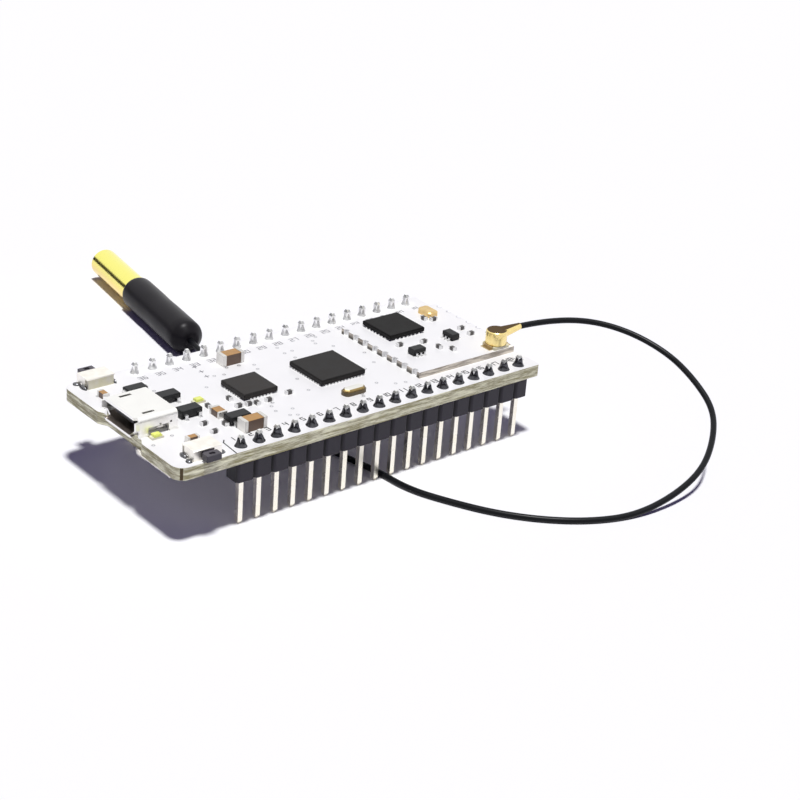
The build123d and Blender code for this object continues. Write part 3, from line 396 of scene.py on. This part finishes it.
# %% Plastic finishes
header_black = finish("header_black", (0.037, 0.033, 0.043), (0.025, 0.022, 0.03),
                      rough=(0.42, 0.55), patch=1.2, bump=0.3, grain_size=0.12, depth=0.02,
                      specular=0.35)
etched = {"bump": 0.3, "grain_size": 0.06, "depth": 0.01}
chip_black = finish("chip_black", (0.024, 0.02, 0.018), (0.013, 0.012, 0.0125),
                    rough=(0.5, 0.62), patch=1.5, specular=0.25, **etched)
radio_black = finish("radio_chip_black", (0.009, 0.008, 0.008), (0.005, 0.005, 0.005),
                     rough=(0.5, 0.6), patch=1.5, specular=0.12, **etched)
processor_black = finish("processor_black", (0.016, 0.014, 0.013), (0.009, 0.0085, 0.009),
                         rough=(0.5, 0.6), patch=1.5, specular=0.18, **etched)
power_black = finish("power_chip_black", (0.011, 0.012, 0.013), (0.007, 0.007, 0.008),
                     rough=(0.45, 0.55), patch=1.0, specular=0.3, **etched)
tongue_black = finish("tongue_black", (0.03, 0.03, 0.032), (0.02, 0.02, 0.022), rough=(0.45, 0.6))
button_grey = finish("button_grey", (0.07, 0.062, 0.075), (0.05, 0.045, 0.056),
                     rough=(0.4, 0.55), patch=0.8, bump=0.3, grain_size=0.1)
cream_plastic = finish("cream_plastic", (0.78, 0.75, 0.66), (0.7, 0.67, 0.42), rough=(0.4, 0.5))
jacket_black = finish("jacket_black", (0.007, 0.008, 0.01), (0.004, 0.0045, 0.006),
                      rough=(0.28, 0.38), patch=3.0, bump=0.12, grain_size=0.3, depth=0.02,
                      specular=0.16)
sleeve_black = finish("sleeve_black", (0.012, 0.0105, 0.0135), (0.008, 0.007, 0.009),
                      rough=(0.3, 0.4), patch=3.0, bump=0.15, grain_size=0.25, depth=0.02,
                      specular=0.12)
print("finishes so far", len(bpy.data.materials))

# %% [markdown]
# ## Painted shade in the notches between the header's blocks
# A header strip is moulded as a row of blocks that can be snapped apart, one for each pin. The
# notches between blocks are not cut into the solid, so the shade in each one is painted as a dark
# line across the strip. The mask comes from a sine wave along the strip that is zero at each notch,
# half a pitch to either side of a pin.

# %% Paint shade in the notches
tree = header_black.node_tree
along = parts_of(tree, object_place(tree))["X"]
from_end = maths(tree, "ADD", along, (PIN_PITCH / 2 - FIRST_PIN_X) * MM)
wave = maths(tree, "SINE", maths(tree, "MULTIPLY", from_end, pi / (PIN_PITCH * MM)))
# Painted shade: each notch gets a darker colour, standing in for the shade in the groove.
notch = ramp(tree, maths(tree, "ABSOLUTE", wave), 0.14, 0.3, 1.0, 0.0)
paint_over(header_black, notch, rgb(0.014, 0.013, 0.016))
print("notches darkened")

# %% [markdown]
# ## Metals
# The pins and the antenna tube are gold and brass, the USB shell is bright plated steel, leads and
# capacitor ends are tinned, and solder is grey. Metal has no colour of its own shade: what it shows
# is the room, tinted. So these differ in tint and in how blurred their reflections are. The front
# row's solder and the solder at the buttons' feet are also painted dark, a painted reflection of the
# dark surroundings.

# %% Metal finishes
def metal(name, light, dark, **settings):
    return finish(name, light, dark, metal=1.0, **settings)


pin_gold = metal("pin_gold", (0.98, 0.95, 0.86), (0.93, 0.88, 0.74), rough=(0.22, 0.34),
                 patch=1.5, bump=0.05)
plug_gold = metal("plug_gold", (0.98, 0.82, 0.4), (0.88, 0.68, 0.25), rough=(0.2, 0.32),
                  patch=1.4, bump=0.02)
brass_bright = metal("brass_bright", (1.0, 0.96, 0.27), (0.98, 0.9, 0.21), rough=(0.14, 0.2),
                     patch=5.0, contrast=1.2, bump=0.0, grain_size=0.5)
shell_bright = metal("shell_bright", (0.94, 0.935, 0.91), (0.89, 0.88, 0.86), rough=(0.3, 0.4),
                     patch=2.5, contrast=1.2, bump=0.0)
cap_tin = metal("cap_tin", (0.8, 0.785, 0.76), (0.6, 0.59, 0.57), rough=(0.3, 0.42),
                patch=1.0, contrast=1.5, bump=0.1)
tin_bright = metal("tin_bright", (0.86, 0.86, 0.86), (0.6, 0.6, 0.61), rough=(0.2, 0.36),
                   patch=0.35, contrast=3.0, bump=0.15)
# Painted reflection: the front row's solder is painted dark for the dark surroundings it mirrors.
front_solder_painted_dark = metal("front_solder_painted_dark", (0.13, 0.13, 0.142), (0.035, 0.035, 0.042),
                    rough=(0.14, 0.26), patch=0.4, bump=0.12, grain_size=0.2)
solder_pale = metal("solder_pale", (0.86, 0.86, 0.86), (0.5, 0.5, 0.52), rough=(0.34, 0.46),
                    patch=0.5, bump=0.12, grain_size=0.2)
button_cream = metal("button_cream", (0.98, 0.955, 0.905), (0.9, 0.865, 0.79),
                     rough=(0.3, 0.45), patch=0.8, bump=0.08)
gold_rim = metal("gold_rim", (0.62, 0.5, 0.3), (0.42, 0.32, 0.19), rough=(0.25, 0.4))
nickel_lid = metal("nickel_lid", (0.9, 0.89, 0.84), (0.8, 0.79, 0.74), rough=(0.25, 0.35))
pale_gold = metal("pale_gold", (0.82, 0.62, 0.3), (0.66, 0.46, 0.2), rough=(0.3, 0.4), patch=0.6)
print("finishes so far", len(bpy.data.materials))

# %% [markdown]
# ## Tinned pin tips
# Above the board the pins have been dipped in solder, so their tips are silver where the rest of the
# pin is pale gold. The mask is the height, which starts at the board's top. The back row's tips are a
# shade paler, and the ramp between the rows lies in the empty middle of the board.

# %% Tin the tips
tree = pin_gold.node_tree
place = parts_of(tree, object_place(tree))
above = ramp(tree, place["Z"], (BOARD_TOP - 0.04) * MM, (BOARD_TOP + 0.16) * MM)
back_row = ramp(tree, place["Y"], -1.0 * MM, 1.0 * MM)
tin = mix_colours(tree, back_row, rgb(0.95, 0.95, 0.94), rgb(0.97, 0.97, 0.97))
paint_over(pin_gold, above, tin)
print("tips tinned")

# %% [markdown]
# ## Metals whose top differs from their sides
# Three metal pieces change with the way a face looks, and each change is painted. The brass tube is
# yellow where it faces up, and its lower side is painted a deeper gold, a painted reflection of the
# shaded floor beside it. The plug's sides are bright gold, and its top is painted brown and dull, a
# painted reflection of the dark surroundings. The clock crystal's lid is a pressed nickel cap with a
# bright flat top, and its low sides are painted golden brown as shade.

# %% Tube, plug and lid
# Painted reflection: the tube's lower side is painted a deeper gold.
upper = use(brass_bright.node_tree, facing_up, Start=-0.1, End=0.45)["Up"]
paint_over(brass_bright, upper, rgb(0.9, 0.7, 0.24), outside=True)
# Painted reflection: the plug's top is painted dark brown.
plug_top = use(plug_gold.node_tree, facing_up, Start=0.75, End=0.95)["Up"]
paint_over(plug_gold, plug_top, rgb(0.085, 0.048, 0.012), rough=0.5)
# Painted shade: the lid's low sides are painted golden brown.
lid_top = use(nickel_lid.node_tree, facing_up, Start=0.8, End=0.97)["Up"]
paint_over(nickel_lid, lid_top, rgb(0.36, 0.26, 0.11), outside=True)
print("tube warmed, plug top dulled, lid sides tarnished")

# %% [markdown]
# ## Inside the socket
# The shell is polished plated steel. Its inner floor and lower lip are painted dark brownish and
# dull, as painted shade inside the mouth, and that is what makes the mouth read as deep. They are the
# faces that look up, lie low, and lie between the side walls, so the mask of upward faces is
# multiplied by one of height above the board and by one of distance from the shell's middle. The
# feet outside the walls stay bright.

# %% Paint shade on the shell's floor
SHELL_MIDDLE = middle(reach("usb_shell")[1])
tree = shell_bright.node_tree
place = parts_of(tree, object_place(tree))
low = ramp(tree, place["Z"], (BOARD_TOP + 0.76) * MM, (BOARD_TOP + 0.96) * MM, 1.0, 0.0)
off_middle = maths(tree, "ABSOLUTE", maths(tree, "SUBTRACT", place["Y"], SHELL_MIDDLE * MM))
between = ramp(tree, off_middle, 3.4 * MM, 3.6 * MM, 1.0, 0.0)
upward = use(tree, facing_up, Start=0.1, End=0.4)["Up"]
# Painted shade inside the socket's mouth.
socket_shade_mask = maths(tree, "MULTIPLY", maths(tree, "MULTIPLY", low, upward), between)
paint_over(shell_bright, socket_shade_mask, rgb(0.16, 0.135, 0.12), rough=0.45)
print("shell floor dulled, middle at", SHELL_MIDDLE)

# %% [markdown]
# ## Ceramics and lenses
# A ceramic capacitor is a fired orange-brown block. Its top, where light falls, keeps that colour,
# and its sides are painted darker as shade. Chip resistors are dark on top. The clock crystal sits in
# a brown ceramic tray. The status lights have a tiny yellow-green lens.

# %% Ceramic finishes
ceramic_brown = finish("ceramic_brown", (0.5, 0.27, 0.075), (0.4, 0.2, 0.055), rough=(0.3, 0.42),
                       patch=0.7, bump=0.2, grain_size=0.08)
# Painted shade: the capacitor's sides are painted darker than its lit top.
capacitor_lit_top = use(ceramic_brown.node_tree, facing_up, Start=0.4, End=0.8)["Up"]
paint_over(ceramic_brown, capacitor_lit_top, rgb(0.14, 0.085, 0.055), outside=True)
tray_brown = finish("tray_brown", (0.16, 0.115, 0.05), (0.07, 0.05, 0.025), rough=(0.4, 0.55),
                    patch=0.4)
ceramic_dark = finish("ceramic_dark", (0.1, 0.09, 0.085), (0.05, 0.05, 0.05), rough=(0.4, 0.55),
                      patch=0.5)
lens_green = finish("lens_green", (0.9, 0.95, 0.2), (0.78, 0.86, 0.12), rough=(0.2, 0.3),
                    patch=0.5, bump=0.05, coat=0.5)
print("finishes so far", len(bpy.data.materials))

# %% [markdown]
# ## Dressing the solids
# Each CAD node keeps its shape and takes one of these materials in its material slot.

# %% Give each node its finish
dress = {
    board_white: ["main_board"],
    radio_white: ["radio_board"],
    header_black: ["front_header_body", "back_header_body"],
    chip_black: ["usb_bridge_chip"],
    processor_black: ["processor_chip"],
    radio_black: ["radio_chip"],
    power_black: ["power_chips", "diode_body", "switch_chips"],
    tray_brown: ["clock_crystal_base"],
    tongue_black: ["usb_tongue"],
    button_grey: ["front_button_plunger", "back_button_plunger"],
    cream_plastic: ["front_button_base", "back_button_base", "status_light_bases",
                    "coax_receptacle_base", "battery_socket_housing", "coax_plug_insert"],
    pin_gold: ["front_header_pins", "back_header_pins"],
    plug_gold: ["coax_plug"],
    brass_bright: ["antenna_tube"],
    shell_bright: ["usb_shell"],
    tin_bright: ["usb_contacts", "usb_bridge_pads", "processor_pads", "power_chip_leads",
                 "diode_leads", "resistor_ends", "radio_chip_pads", "switch_chip_leads",
                 "radio_part_ends", "battery_socket_contacts", "coax_receptacle_pin"],
    cap_tin: ["capacitor_ends"],
    gold_rim: ["coax_receptacle_ring"],
    front_solder_painted_dark: ["front_solder_joints"],
    solder_pale: ["back_solder_joints", "radio_board_pads"],
    button_cream: ["front_button_cover", "back_button_cover"],
    nickel_lid: ["clock_crystal_lid"],
    pale_gold: ["radio_crystal"],
    ceramic_brown: ["capacitor_bodies"],
    ceramic_dark: ["resistor_bodies", "radio_part_bodies"],
    lens_green: ["status_light_lenses"],
    jacket_black: ["antenna_lead"],
    sleeve_black: ["antenna_sleeve"],
}
for material, nodes in dress.items():
    for node in nodes:
        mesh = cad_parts[node].data
        mesh.materials.clear()
        mesh.materials.append(material)
lead.data.materials.append(jacket_black)
print("dressed", sum(len(nodes) for nodes in dress.values()), "of", len(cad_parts))

# %% [markdown]
# ## Softened edges
# No real edge is perfectly sharp, and a narrow highlight along an edge is what makes a form read.
# A bevel modifier rounds the edges of the larger solids without touching their own mesh. A weld
# comes first, because the imported solids have a separate copy of each corner for each face.

# %% Bevel the larger forms
soften = {
    "front_header_body": 0.12, "back_header_body": 0.12, "usb_bridge_chip": 0.06,
    "processor_chip": 0.06, "radio_chip": 0.06, "power_chips": 0.06, "diode_body": 0.05,
    "switch_chips": 0.05, "capacitor_bodies": 0.04, "capacitor_ends": 0.06,
    "front_button_plunger": 0.06, "back_button_plunger": 0.06, "front_button_cover": 0.04,
    "back_button_cover": 0.04, "clock_crystal_lid": 0.05, "coax_plug": 0.05,
}
for node, width in soften.items():
    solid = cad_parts[node]
    weld = solid.modifiers.new("weld", "WELD")
    weld.merge_threshold = 0.002 * MM
    bevel = solid.modifiers.new("soft_edges", "BEVEL")
    bevel.width = width * MM
    bevel.segments = 2
    bevel.limit_method = "ANGLE"
    bevel.angle_limit = radians(35)
    bevel.harden_normals = True
print("softened", len(soften))

# %% [markdown]
# ## Making a piece
# The rest of the pieces are new meshes. `join` puts a band of four-sided faces between two rows of
# points, and `new_piece` turns a finished shape into an object that rides on a body of the frame and
# says what stuff it is made of.

# %% Mesh helpers
def spot(shape, x, y, z):
    return shape.verts.new(Vector((x, y, z)) * MM)


def angles(sides):
    return [2 * pi * i / sides for i in range(sides)]


def join(shape, low, high, closed=True, smooth=True):
    bands = len(low) if closed else len(low) - 1
    for i in range(bands):
        j = (i + 1) % len(low)
        shape.faces.new((low[i], low[j], high[j], high[i])).smooth = smooth


def mesh_from(shape, name, material):
    mesh = bpy.data.meshes.new(name)
    shape.to_mesh(mesh)
    shape.free()
    mesh.materials.append(material)
    return mesh


def new_piece(name, shape, body, material):
    piece = stand(name, mesh_from(shape, name, material))
    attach(piece, body)
    return piece


print("mesh helpers ready")

# %% [markdown]
# ## Solder joints
# Molten solder climbs a pin and freezes with hollow sides: wide and thin on the copper, steep at
# the pin, whose bright tip stays bare. A straight cone misses that. The joint is a profile turned
# round the pin, so each one is a lathe shape with a curved outline, and a slight tilt of its own so
# that no two catch the light alike. The back row has less solder, in solder's own pale grey. The
# front row's solder is painted dark, a painted reflection of the dark surroundings.

# %% Build the joints
joint_profile = [(0.78, 0.0), (0.75, 0.05), (0.65, 0.2), (0.56, 0.4), (0.5, 0.6), (0.46, 0.8),
                 (0.43, 0.95), (0.37, 1.07), (0.3, 1.1)]
JOINT_SIDES, JOINT_TILT, JOINT_LOBES = 20, 0.04, 0.05


def turned_joint(shape, x, y, lean, girth):
    rings = []
    for radius, rise in joint_profile:
        ring = []
        for a in angles(JOINT_SIDES):
            r = radius * girth * (1 + JOINT_LOBES * sin(3 * a + lean * 5))
            ring.append(spot(shape, x + r * cos(a) + rise * JOINT_TILT * cos(lean),
                             y + r * sin(a) + rise * JOINT_TILT * sin(lean), BOARD_TOP + rise))
        rings.append(ring)
    for low, high in zip(rings, rings[1:]):
        join(shape, low, high)
    shape.faces.new(rings[-1]).smooth = True


for row, node, y, solder, girth in (
        ("front_joints", "front_solder_joints", -ROW_Y, front_solder_painted_dark, 1.0),
        ("back_joints", "back_solder_joints", ROW_Y, solder_pale, 0.78)):
    shape = bmesh.new()
    for i, x in enumerate(PIN_XS):
        turned_joint(shape, x, y, 1.7 * i + y, girth)
    joints = new_piece(row, shape, "board", solder)
    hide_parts(node)
    print(row, len(joints.data.vertices), "points")

# %% [markdown]
# ## Ink on the board
# Every pin has a number printed beside it, and two strokes mark off the first pin. Printed ink is a
# film a few hundredths of a millimetre thick, so flat strips just above the board do it. A digit is
# drawn as the strokes of a seven-part figure, which reads well at this size and needs no font. Three
# small plus signs and two slashes fill out the print. The back row's numbers are thinner and grey,
# because the lamp washes them out.

# %% How to print
INK_Z = BOARD_TOP + 0.012
DIGIT_WIDE, DIGIT_HALF_TALL, DIGIT_PITCH = 0.425, 0.375, 0.675
STROKES = [((0, 2), (1, 2)), ((0, 1), (0, 2)), ((1, 1), (1, 2)), ((0, 1), (1, 1)),
           ((0, 0), (0, 1)), ((1, 0), (1, 1)), ((0, 0), (1, 0))]
DIGITS = ["012456", "25", "02346", "02356", "1235", "01356", "013456", "025", "0123456", "012356"]


def strip(shape, start, end, width):
    a, b = Vector(start), Vector(end)
    ahead = (b - a).normalized() * width / 2
    side = Vector((-ahead.y, ahead.x))
    corners = (a - ahead + side, a - ahead - side, b + ahead - side, b + ahead + side)
    shape.faces.new([spot(shape, corner.x, corner.y, INK_Z) for corner in corners])


def print_number(shape, number, x, y, line):
    text = str(number)
    for place, digit in enumerate(text):
        shift = (place - (len(text) - 1) / 2) * DIGIT_PITCH
        for stroke in DIGITS[int(digit)]:
            start, end = [(x + (u - 0.5) * DIGIT_WIDE + shift, y + (v - 1) * DIGIT_HALF_TALL)
                          for u, v in STROKES[int(stroke)]]
            strip(shape, start, end, line)


print("strokes", len(STROKES), "digits", len(DIGITS))

# %% Print the ink
ink_black = finish("ink_black", (0.022, 0.022, 0.026), (0.012, 0.012, 0.015), rough=(0.6, 0.75),
                   patch=0.4)
ink_grey = finish("ink_grey", (0.26, 0.26, 0.28), (0.17, 0.17, 0.19), rough=(0.6, 0.75), patch=0.4)
front_numbers_y, back_numbers_y = -9.6, 9.55
front_line, back_line, mark_line, pin_one_line = 0.13, 0.1, 0.12, 0.15
front_print, back_print = bmesh.new(), bmesh.new()
for i, x in enumerate(PIN_XS):
    print_number(front_print, i + 1, x, front_numbers_y, front_line)
    print_number(back_print, 2 * PIN_COUNT - i, x, back_numbers_y, back_line)
plus_marks, plus_reach = ((-10.8, 9.0), (-10.8, 7.5), (-11.0, 6.0)), 0.3
for x, y in plus_marks:
    strip(back_print, (x, y - plus_reach), (x, y + plus_reach), mark_line)
    strip(back_print, (x - plus_reach, y), (x + plus_reach, y), mark_line)
pin_one_bend, pin_one_ends = (-19.3, -9.8), ((-19.5, -12.7), (-18.9, -9.3))
for end in pin_one_ends:
    strip(front_print, pin_one_bend, end, pin_one_line)
slash_xs, slash_run, slash_top, slash_foot = (24.6, 25.9), 0.9, -9.4, -10.6
for x in slash_xs:
    strip(front_print, (x, slash_top), (x + slash_run, slash_foot), mark_line)
board_ink = new_piece("board_ink", front_print, "board", ink_black)
back_row_ink = new_piece("back_row_ink", back_print, "board", ink_grey)
print("ink strips", len(board_ink.data.polygons), "and", len(back_row_ink.data.polygons))

# %% [markdown]
# ## Plated holes
# Small plated holes carry signals from one face of the board to the other. They are scattered where
# tracks change face, and show as tiny grey rings with a dark middle. Places are drawn at random, and
# one that falls on a larger part is drawn again. Each part to keep clear of is a square: the place
# of its middle, and how far it reaches.

# %% Scatter the holes
hole_tin = metal("hole_tin", (0.66, 0.66, 0.68), (0.5, 0.5, 0.52), rough=(0.3, 0.45), patch=0.3)
HOLE_COUNT, HOLE_SIDES, HOLE_RADII, HOLE_Z = 46, 12, (0.24, 0.11), BOARD_TOP + 0.014
holes_x, holes_y = 26.5, 8.9
keep_clear = [(-8.6, 0.35, 3.3), (2.8, -0.35, 4.2), (20.5, 0.0, 8.6), (-24.5, -0.35, 4.4),
              (-24.0, -10.4, 2.6), (-24.2, 11.0, 2.6), (-17.0, -2.0, 5.2), (-3.5, -8.2, 2.6)]
seed(7)
holes, made = bmesh.new(), 0
while made < HOLE_COUNT:
    x, y = uniform(-holes_x, holes_x), uniform(-holes_y, holes_y)
    if any(max(abs(x - cx), abs(y - cy)) < size for cx, cy, size in keep_clear):
        continue
    outer, inner = [[spot(holes, x + r * cos(a), y + r * sin(a), HOLE_Z)
                     for a in angles(HOLE_SIDES)] for r in HOLE_RADII]
    join(holes, outer, inner, smooth=False)
    made += 1
new_piece("plated_holes", holes, "board", hole_tin)
print("plated holes", made)

# %% [markdown]
# ## Solder at the buttons' feet
# Each button's cover has four feet that are soldered down. The solder has drawn up against the sheet
# in small shiny mounds, painted darker than the cover, a painted reflection of the dark surroundings
# they mirror. A mound is a squashed dome with an uneven rim. Two round ones stand at the outer
# corners of each cover, and two long ones at its inner sides.

# %% Pour the mounds
MOUND_SIDES, MOUND_STEPS = 14, 4


def mound(shape, x, y, size, lean):
    rings = []
    for k in range(MOUND_STEPS):
        climb = (pi / 2) * k / MOUND_STEPS
        ring = []
        for a in angles(MOUND_SIDES):
            r = cos(climb) * (1 + 0.09 * sin(2 * a + lean) + 0.05 * sin(5 * a - lean))
            ring.append(spot(shape, x + size[0] * r * cos(a), y + size[1] * r * sin(a),
                             BOARD_TOP + size[2] * sin(climb)))
        rings.append(ring)
    for low, high in zip(rings, rings[1:]):
        join(shape, low, high)
    top, crown = rings[-1], spot(shape, x, y, BOARD_TOP + size[2])
    for i in range(MOUND_SIDES):
        shape.faces.new((top[i], top[(i + 1) % MOUND_SIDES], crown)).smooth = True


# Painted reflection: the mounds are painted dark for the dark surroundings they mirror.
foot_solder_painted_dark = metal("foot_solder_painted_dark", (0.24, 0.24, 0.25), (0.1, 0.1, 0.11), rough=(0.18, 0.3),
                    patch=0.4)
front_cover_x, front_cover_y = [middle(span) for span in reach("front_button_cover")[:2]]
back_cover_x, back_cover_y = [middle(span) for span in reach("back_button_cover")[:2]]
round_size, long_size = (0.42, 0.5, 0.3), (0.3, 0.75, 0.42)
outer_out, front_inner_in, back_inner_in = 0.775, 0.625, 0.575
outer_apart, inner_apart = 2.2, 2.05
outer_middles = ((front_cover_x, front_cover_y - outer_out),
                 (back_cover_x, back_cover_y + outer_out))
inner_middles = ((front_cover_x, front_cover_y + front_inner_in),
                 (back_cover_x, back_cover_y - back_inner_in))
outer_feet = [(x + side * outer_apart, y) for x, y in outer_middles for side in (-1, 1)]
inner_feet = [(x + side * inner_apart, y) for x, y in inner_middles for side in (-1, 1)]
mounds = bmesh.new()
for k, (x, y) in enumerate(outer_feet):
    mound(mounds, x, y, round_size, 1.3 * k)
for k, (x, y) in enumerate(inner_feet):
    mound(mounds, x, y, long_size, 0.7 + k)
foot_mounds = new_piece("foot_mounds", mounds, "board", foot_solder_painted_dark)
print("mounds", len(outer_feet) + len(inner_feet), "faces", len(foot_mounds.data.polygons))

# %% [markdown]
# ## The board's rough lower edge
# Boards are milled out of a panel. The cutter leaves a burr of white mask and resin along the lower
# edge at the socket end, thickest at the corner of the recess. It is a row of small uneven beads,
# each an icosphere pulled long, for which bmesh takes the place and the stretch as one matrix.

# %% Leave the burr
burr_white = finish("burr_white", (0.86, 0.84, 0.8), (0.66, 0.64, 0.58), rough=(0.5, 0.65),
                    patch=0.5, bump=0.4)
USB_END = board_x[0]


def bead(shape, x, y, size, sink, stretch):
    place = Matrix.Translation(Vector((x, y, BOARD_BOTTOM - sink * size)) * MM)
    bmesh.ops.create_icosphere(shape, subdivisions=2, radius=size * MM,
                               matrix=place @ Matrix.Diagonal((*stretch, 1)))


beads = bmesh.new()
seed(11)
EDGE_BEADS, LARGE_BEADS, bead_pitch, first_bead_y = 30, 8, 0.23, -4.4
for k in range(EDGE_BEADS):
    size = uniform(0.13, 0.2) if k < LARGE_BEADS else uniform(0.07, 0.13)
    bead(beads, USB_END, first_bead_y - bead_pitch * k, size, 0.2, (0.8, 1.5, 0.9))
recess_beads = ((0.55, -3.5, 0.3), (0.35, -4.0, 0.34), (0.15, -4.55, 0.3), (0.1, -5.15, 0.22))
for inward, y, size in recess_beads:
    bead(beads, USB_END + inward, y, size, 0.25, (0.8, 1.3, 0.85))
for face in beads.faces:
    face.smooth = True
new_piece("edge_burr", beads, "board", burr_white)
print("beads", EDGE_BEADS + len(recess_beads))

# %% [markdown]
# ## A burn at the corner
# Where the cutter turned the board's near corner it stood still for a moment and burnt the edge
# brown. The burn is a narrow strip that follows the round corner, a hair outside it.

# %% Burn the corner
burn_brown = finish("burn_brown", (0.13, 0.09, 0.03), (0.06, 0.04, 0.012), rough=(0.6, 0.75),
                    patch=0.4)
CORNER_R, burn_gap = 1.5, 0.012
corner_x, corner_y = USB_END + CORNER_R, board_y[0] + CORNER_R
burn_start, burn_step, burn_points = 228, 3.5, 5
burn_angles = [radians(burn_start + burn_step * k) for k in range(burn_points)]
burn = bmesh.new()
foot, head = [[spot(burn, corner_x + (CORNER_R + burn_gap) * cos(a),
                    corner_y + (CORNER_R + burn_gap) * sin(a), z) for a in burn_angles]
              for z in (BOARD_BOTTOM + 0.03, BOARD_TOP - 0.04)]
join(burn, foot, head, closed=False, smooth=False)
new_piece("corner_burn", burn, "board", burn_brown)
print("burn at", round(corner_x, 2), round(corner_y, 2))

# %% [markdown]
# ## The antenna's sleeve
# A heat-shrink sleeve holds the antenna's foot to the lead. Heat draws it tight, so it has soft
# shoulders at both ends and a slight dip where the brass tube stops inside it. It is a lathe shape
# along the antenna, with enough rings for those curves. Each ring is a distance along and a radius,
# and the last two turn in at the mouth.

# %% Build the sleeve
SLEEVE_FOOT, SLEEVE_TURN, SLEEVE_SIDES = Vector(lead_route[-1]), radians(81.2), 40
along = Vector((cos(SLEEVE_TURN), sin(SLEEVE_TURN), 0))
across = Vector((-sin(SLEEVE_TURN), cos(SLEEVE_TURN), 0))
upright = Vector((0, 0, 1))
sleeve_profile = [(0.0, 0.43), (0.0, 1.0), (0.06, 1.24), (0.3, 1.5), (0.75, 1.98), (1.15, 2.3),
                  (1.6, 2.43), (3.0, 2.45), (6.0, 2.45), (8.5, 2.44), (9.8, 2.41), (11.0, 2.41),
                  (12.5, 2.45), (15.5, 2.45), (17.8, 2.45), (18.25, 2.42), (18.45, 2.34),
                  (18.5, 2.22), (18.46, 2.13), (18.1, 2.11)]
shape = bmesh.new()
rings = []
for run, radius in sleeve_profile:
    centre = SLEEVE_FOOT + along * run
    rings.append([spot(shape, *(centre + (across * cos(a) + upright * sin(a)) * radius))
                  for a in angles(SLEEVE_SIDES)])
for low, high in zip(rings, rings[1:]):
    join(shape, low, high)
shape.faces.new(list(reversed(rings[0])))
bmesh.ops.recalc_face_normals(shape, faces=shape.faces)
sleeve = new_piece("shrunk_sleeve", shape, "board", sleeve_black)
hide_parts("antenna_sleeve")
print("sleeve", len(sleeve.data.polygons), "faces")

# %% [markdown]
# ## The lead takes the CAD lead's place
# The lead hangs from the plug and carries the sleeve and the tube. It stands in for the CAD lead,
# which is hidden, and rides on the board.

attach(lead, "board")
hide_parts("antenna_lead")

# %% [markdown]
# ## The lead's shadow
# The photograph shows no shadow of the lead's high arch, only a thin dark line where the lead comes
# down to the floor. So the lead casts no shadow itself, and a thinner core inside its low part does.
# The core tapers almost to nothing where the lead rises, and only shadow rays see it.

# %% Lay the core
def hide_from(thing, *rays):
    for ray in rays:
        setattr(thing, "visible_" + ray, False)


CORE_R, core_top = 0.3 * MM, 7.0
low_points = [point for point in lead_route if point[2] < core_top]
core, core_spline = smooth_line("lead_core", low_points, CORE_R, steps=12)
for k, point in enumerate(core_spline.points):
    point.radius = min(1.0, 0.1 + 0.3 * k)
core.data.materials.append(jacket_black)
hide_from(lead, "shadow")
hide_from(core, "camera", "diffuse", "glossy", "transmission")
print("core points", len(low_points), "highest at", max(point[2] for point in low_points))

# %% [markdown]
# ## Floor
# The floor is a wide white plane. It takes the shadow, and the background is white all round it.
# To the camera and to reflections it is pure white. To other light it is a little darker, so that
# it doesn't throw more light back under the board than the studio floor did.

# %% Floor plane
FLOOR_REACH, FLOOR_DROP = 3.0, 0.02 * MM
floor_paint = bpy.data.materials.new("floor_paint")
floor_paint.use_nodes = True
tree, shader = floor_paint.node_tree, shader_of(floor_paint)
paint = mix_colours(tree, sees_background(tree), rgb(0.49, 0.48, 0.55), rgb(1, 1, 1))
tree.links.new(paint, shader.inputs["Base Color"])
shader.inputs["Roughness"].default_value = 1.0
shader.inputs["Specular IOR Level"].default_value = 0.0
shape = bmesh.new()
bmesh.ops.create_grid(shape, x_segments=1, y_segments=1, size=FLOOR_REACH)
floor = stand("floor", mesh_from(shape, "floor", floor_paint))
floor.location.z = -FLOOR_DROP
print("floor", 2 * FLOOR_REACH, "m wide")

# %% [markdown]
# ## Dark cards near the floor
# Bright metal in an all-white room has no form. A photographer stands dark cards low around the set,
# outside the picture, and the metal shows them as a dark line. Here a low ring of cards, open to the
# right, is seen by reflections only.

# %% Ring of cards
CARD_DISTANCE, CARD_HEIGHT, CARD_COUNT = 0.9, 0.21, 24
card_start, card_sweep = 85, 235
card_paint = finish("card_paint", (0.03, 0.03, 0.032), (0.02, 0.02, 0.022), rough=(0.9, 1.0),
                    bump=0.0)
card_angles = [radians(card_start + card_sweep * i / CARD_COUNT) for i in range(CARD_COUNT + 1)]
shape = bmesh.new()
foot, head = [[shape.verts.new((CARD_DISTANCE * cos(a), CARD_DISTANCE * sin(a), z))
               for a in card_angles] for z in (0.0, CARD_HEIGHT)]
join(shape, foot, head, closed=False, smooth=False)
cards = stand("dark_cards", mesh_from(shape, "dark_cards", card_paint))
hide_from(cards, "camera", "diffuse", "shadow", "transmission")
print("cards", len(cards.data.polygons))
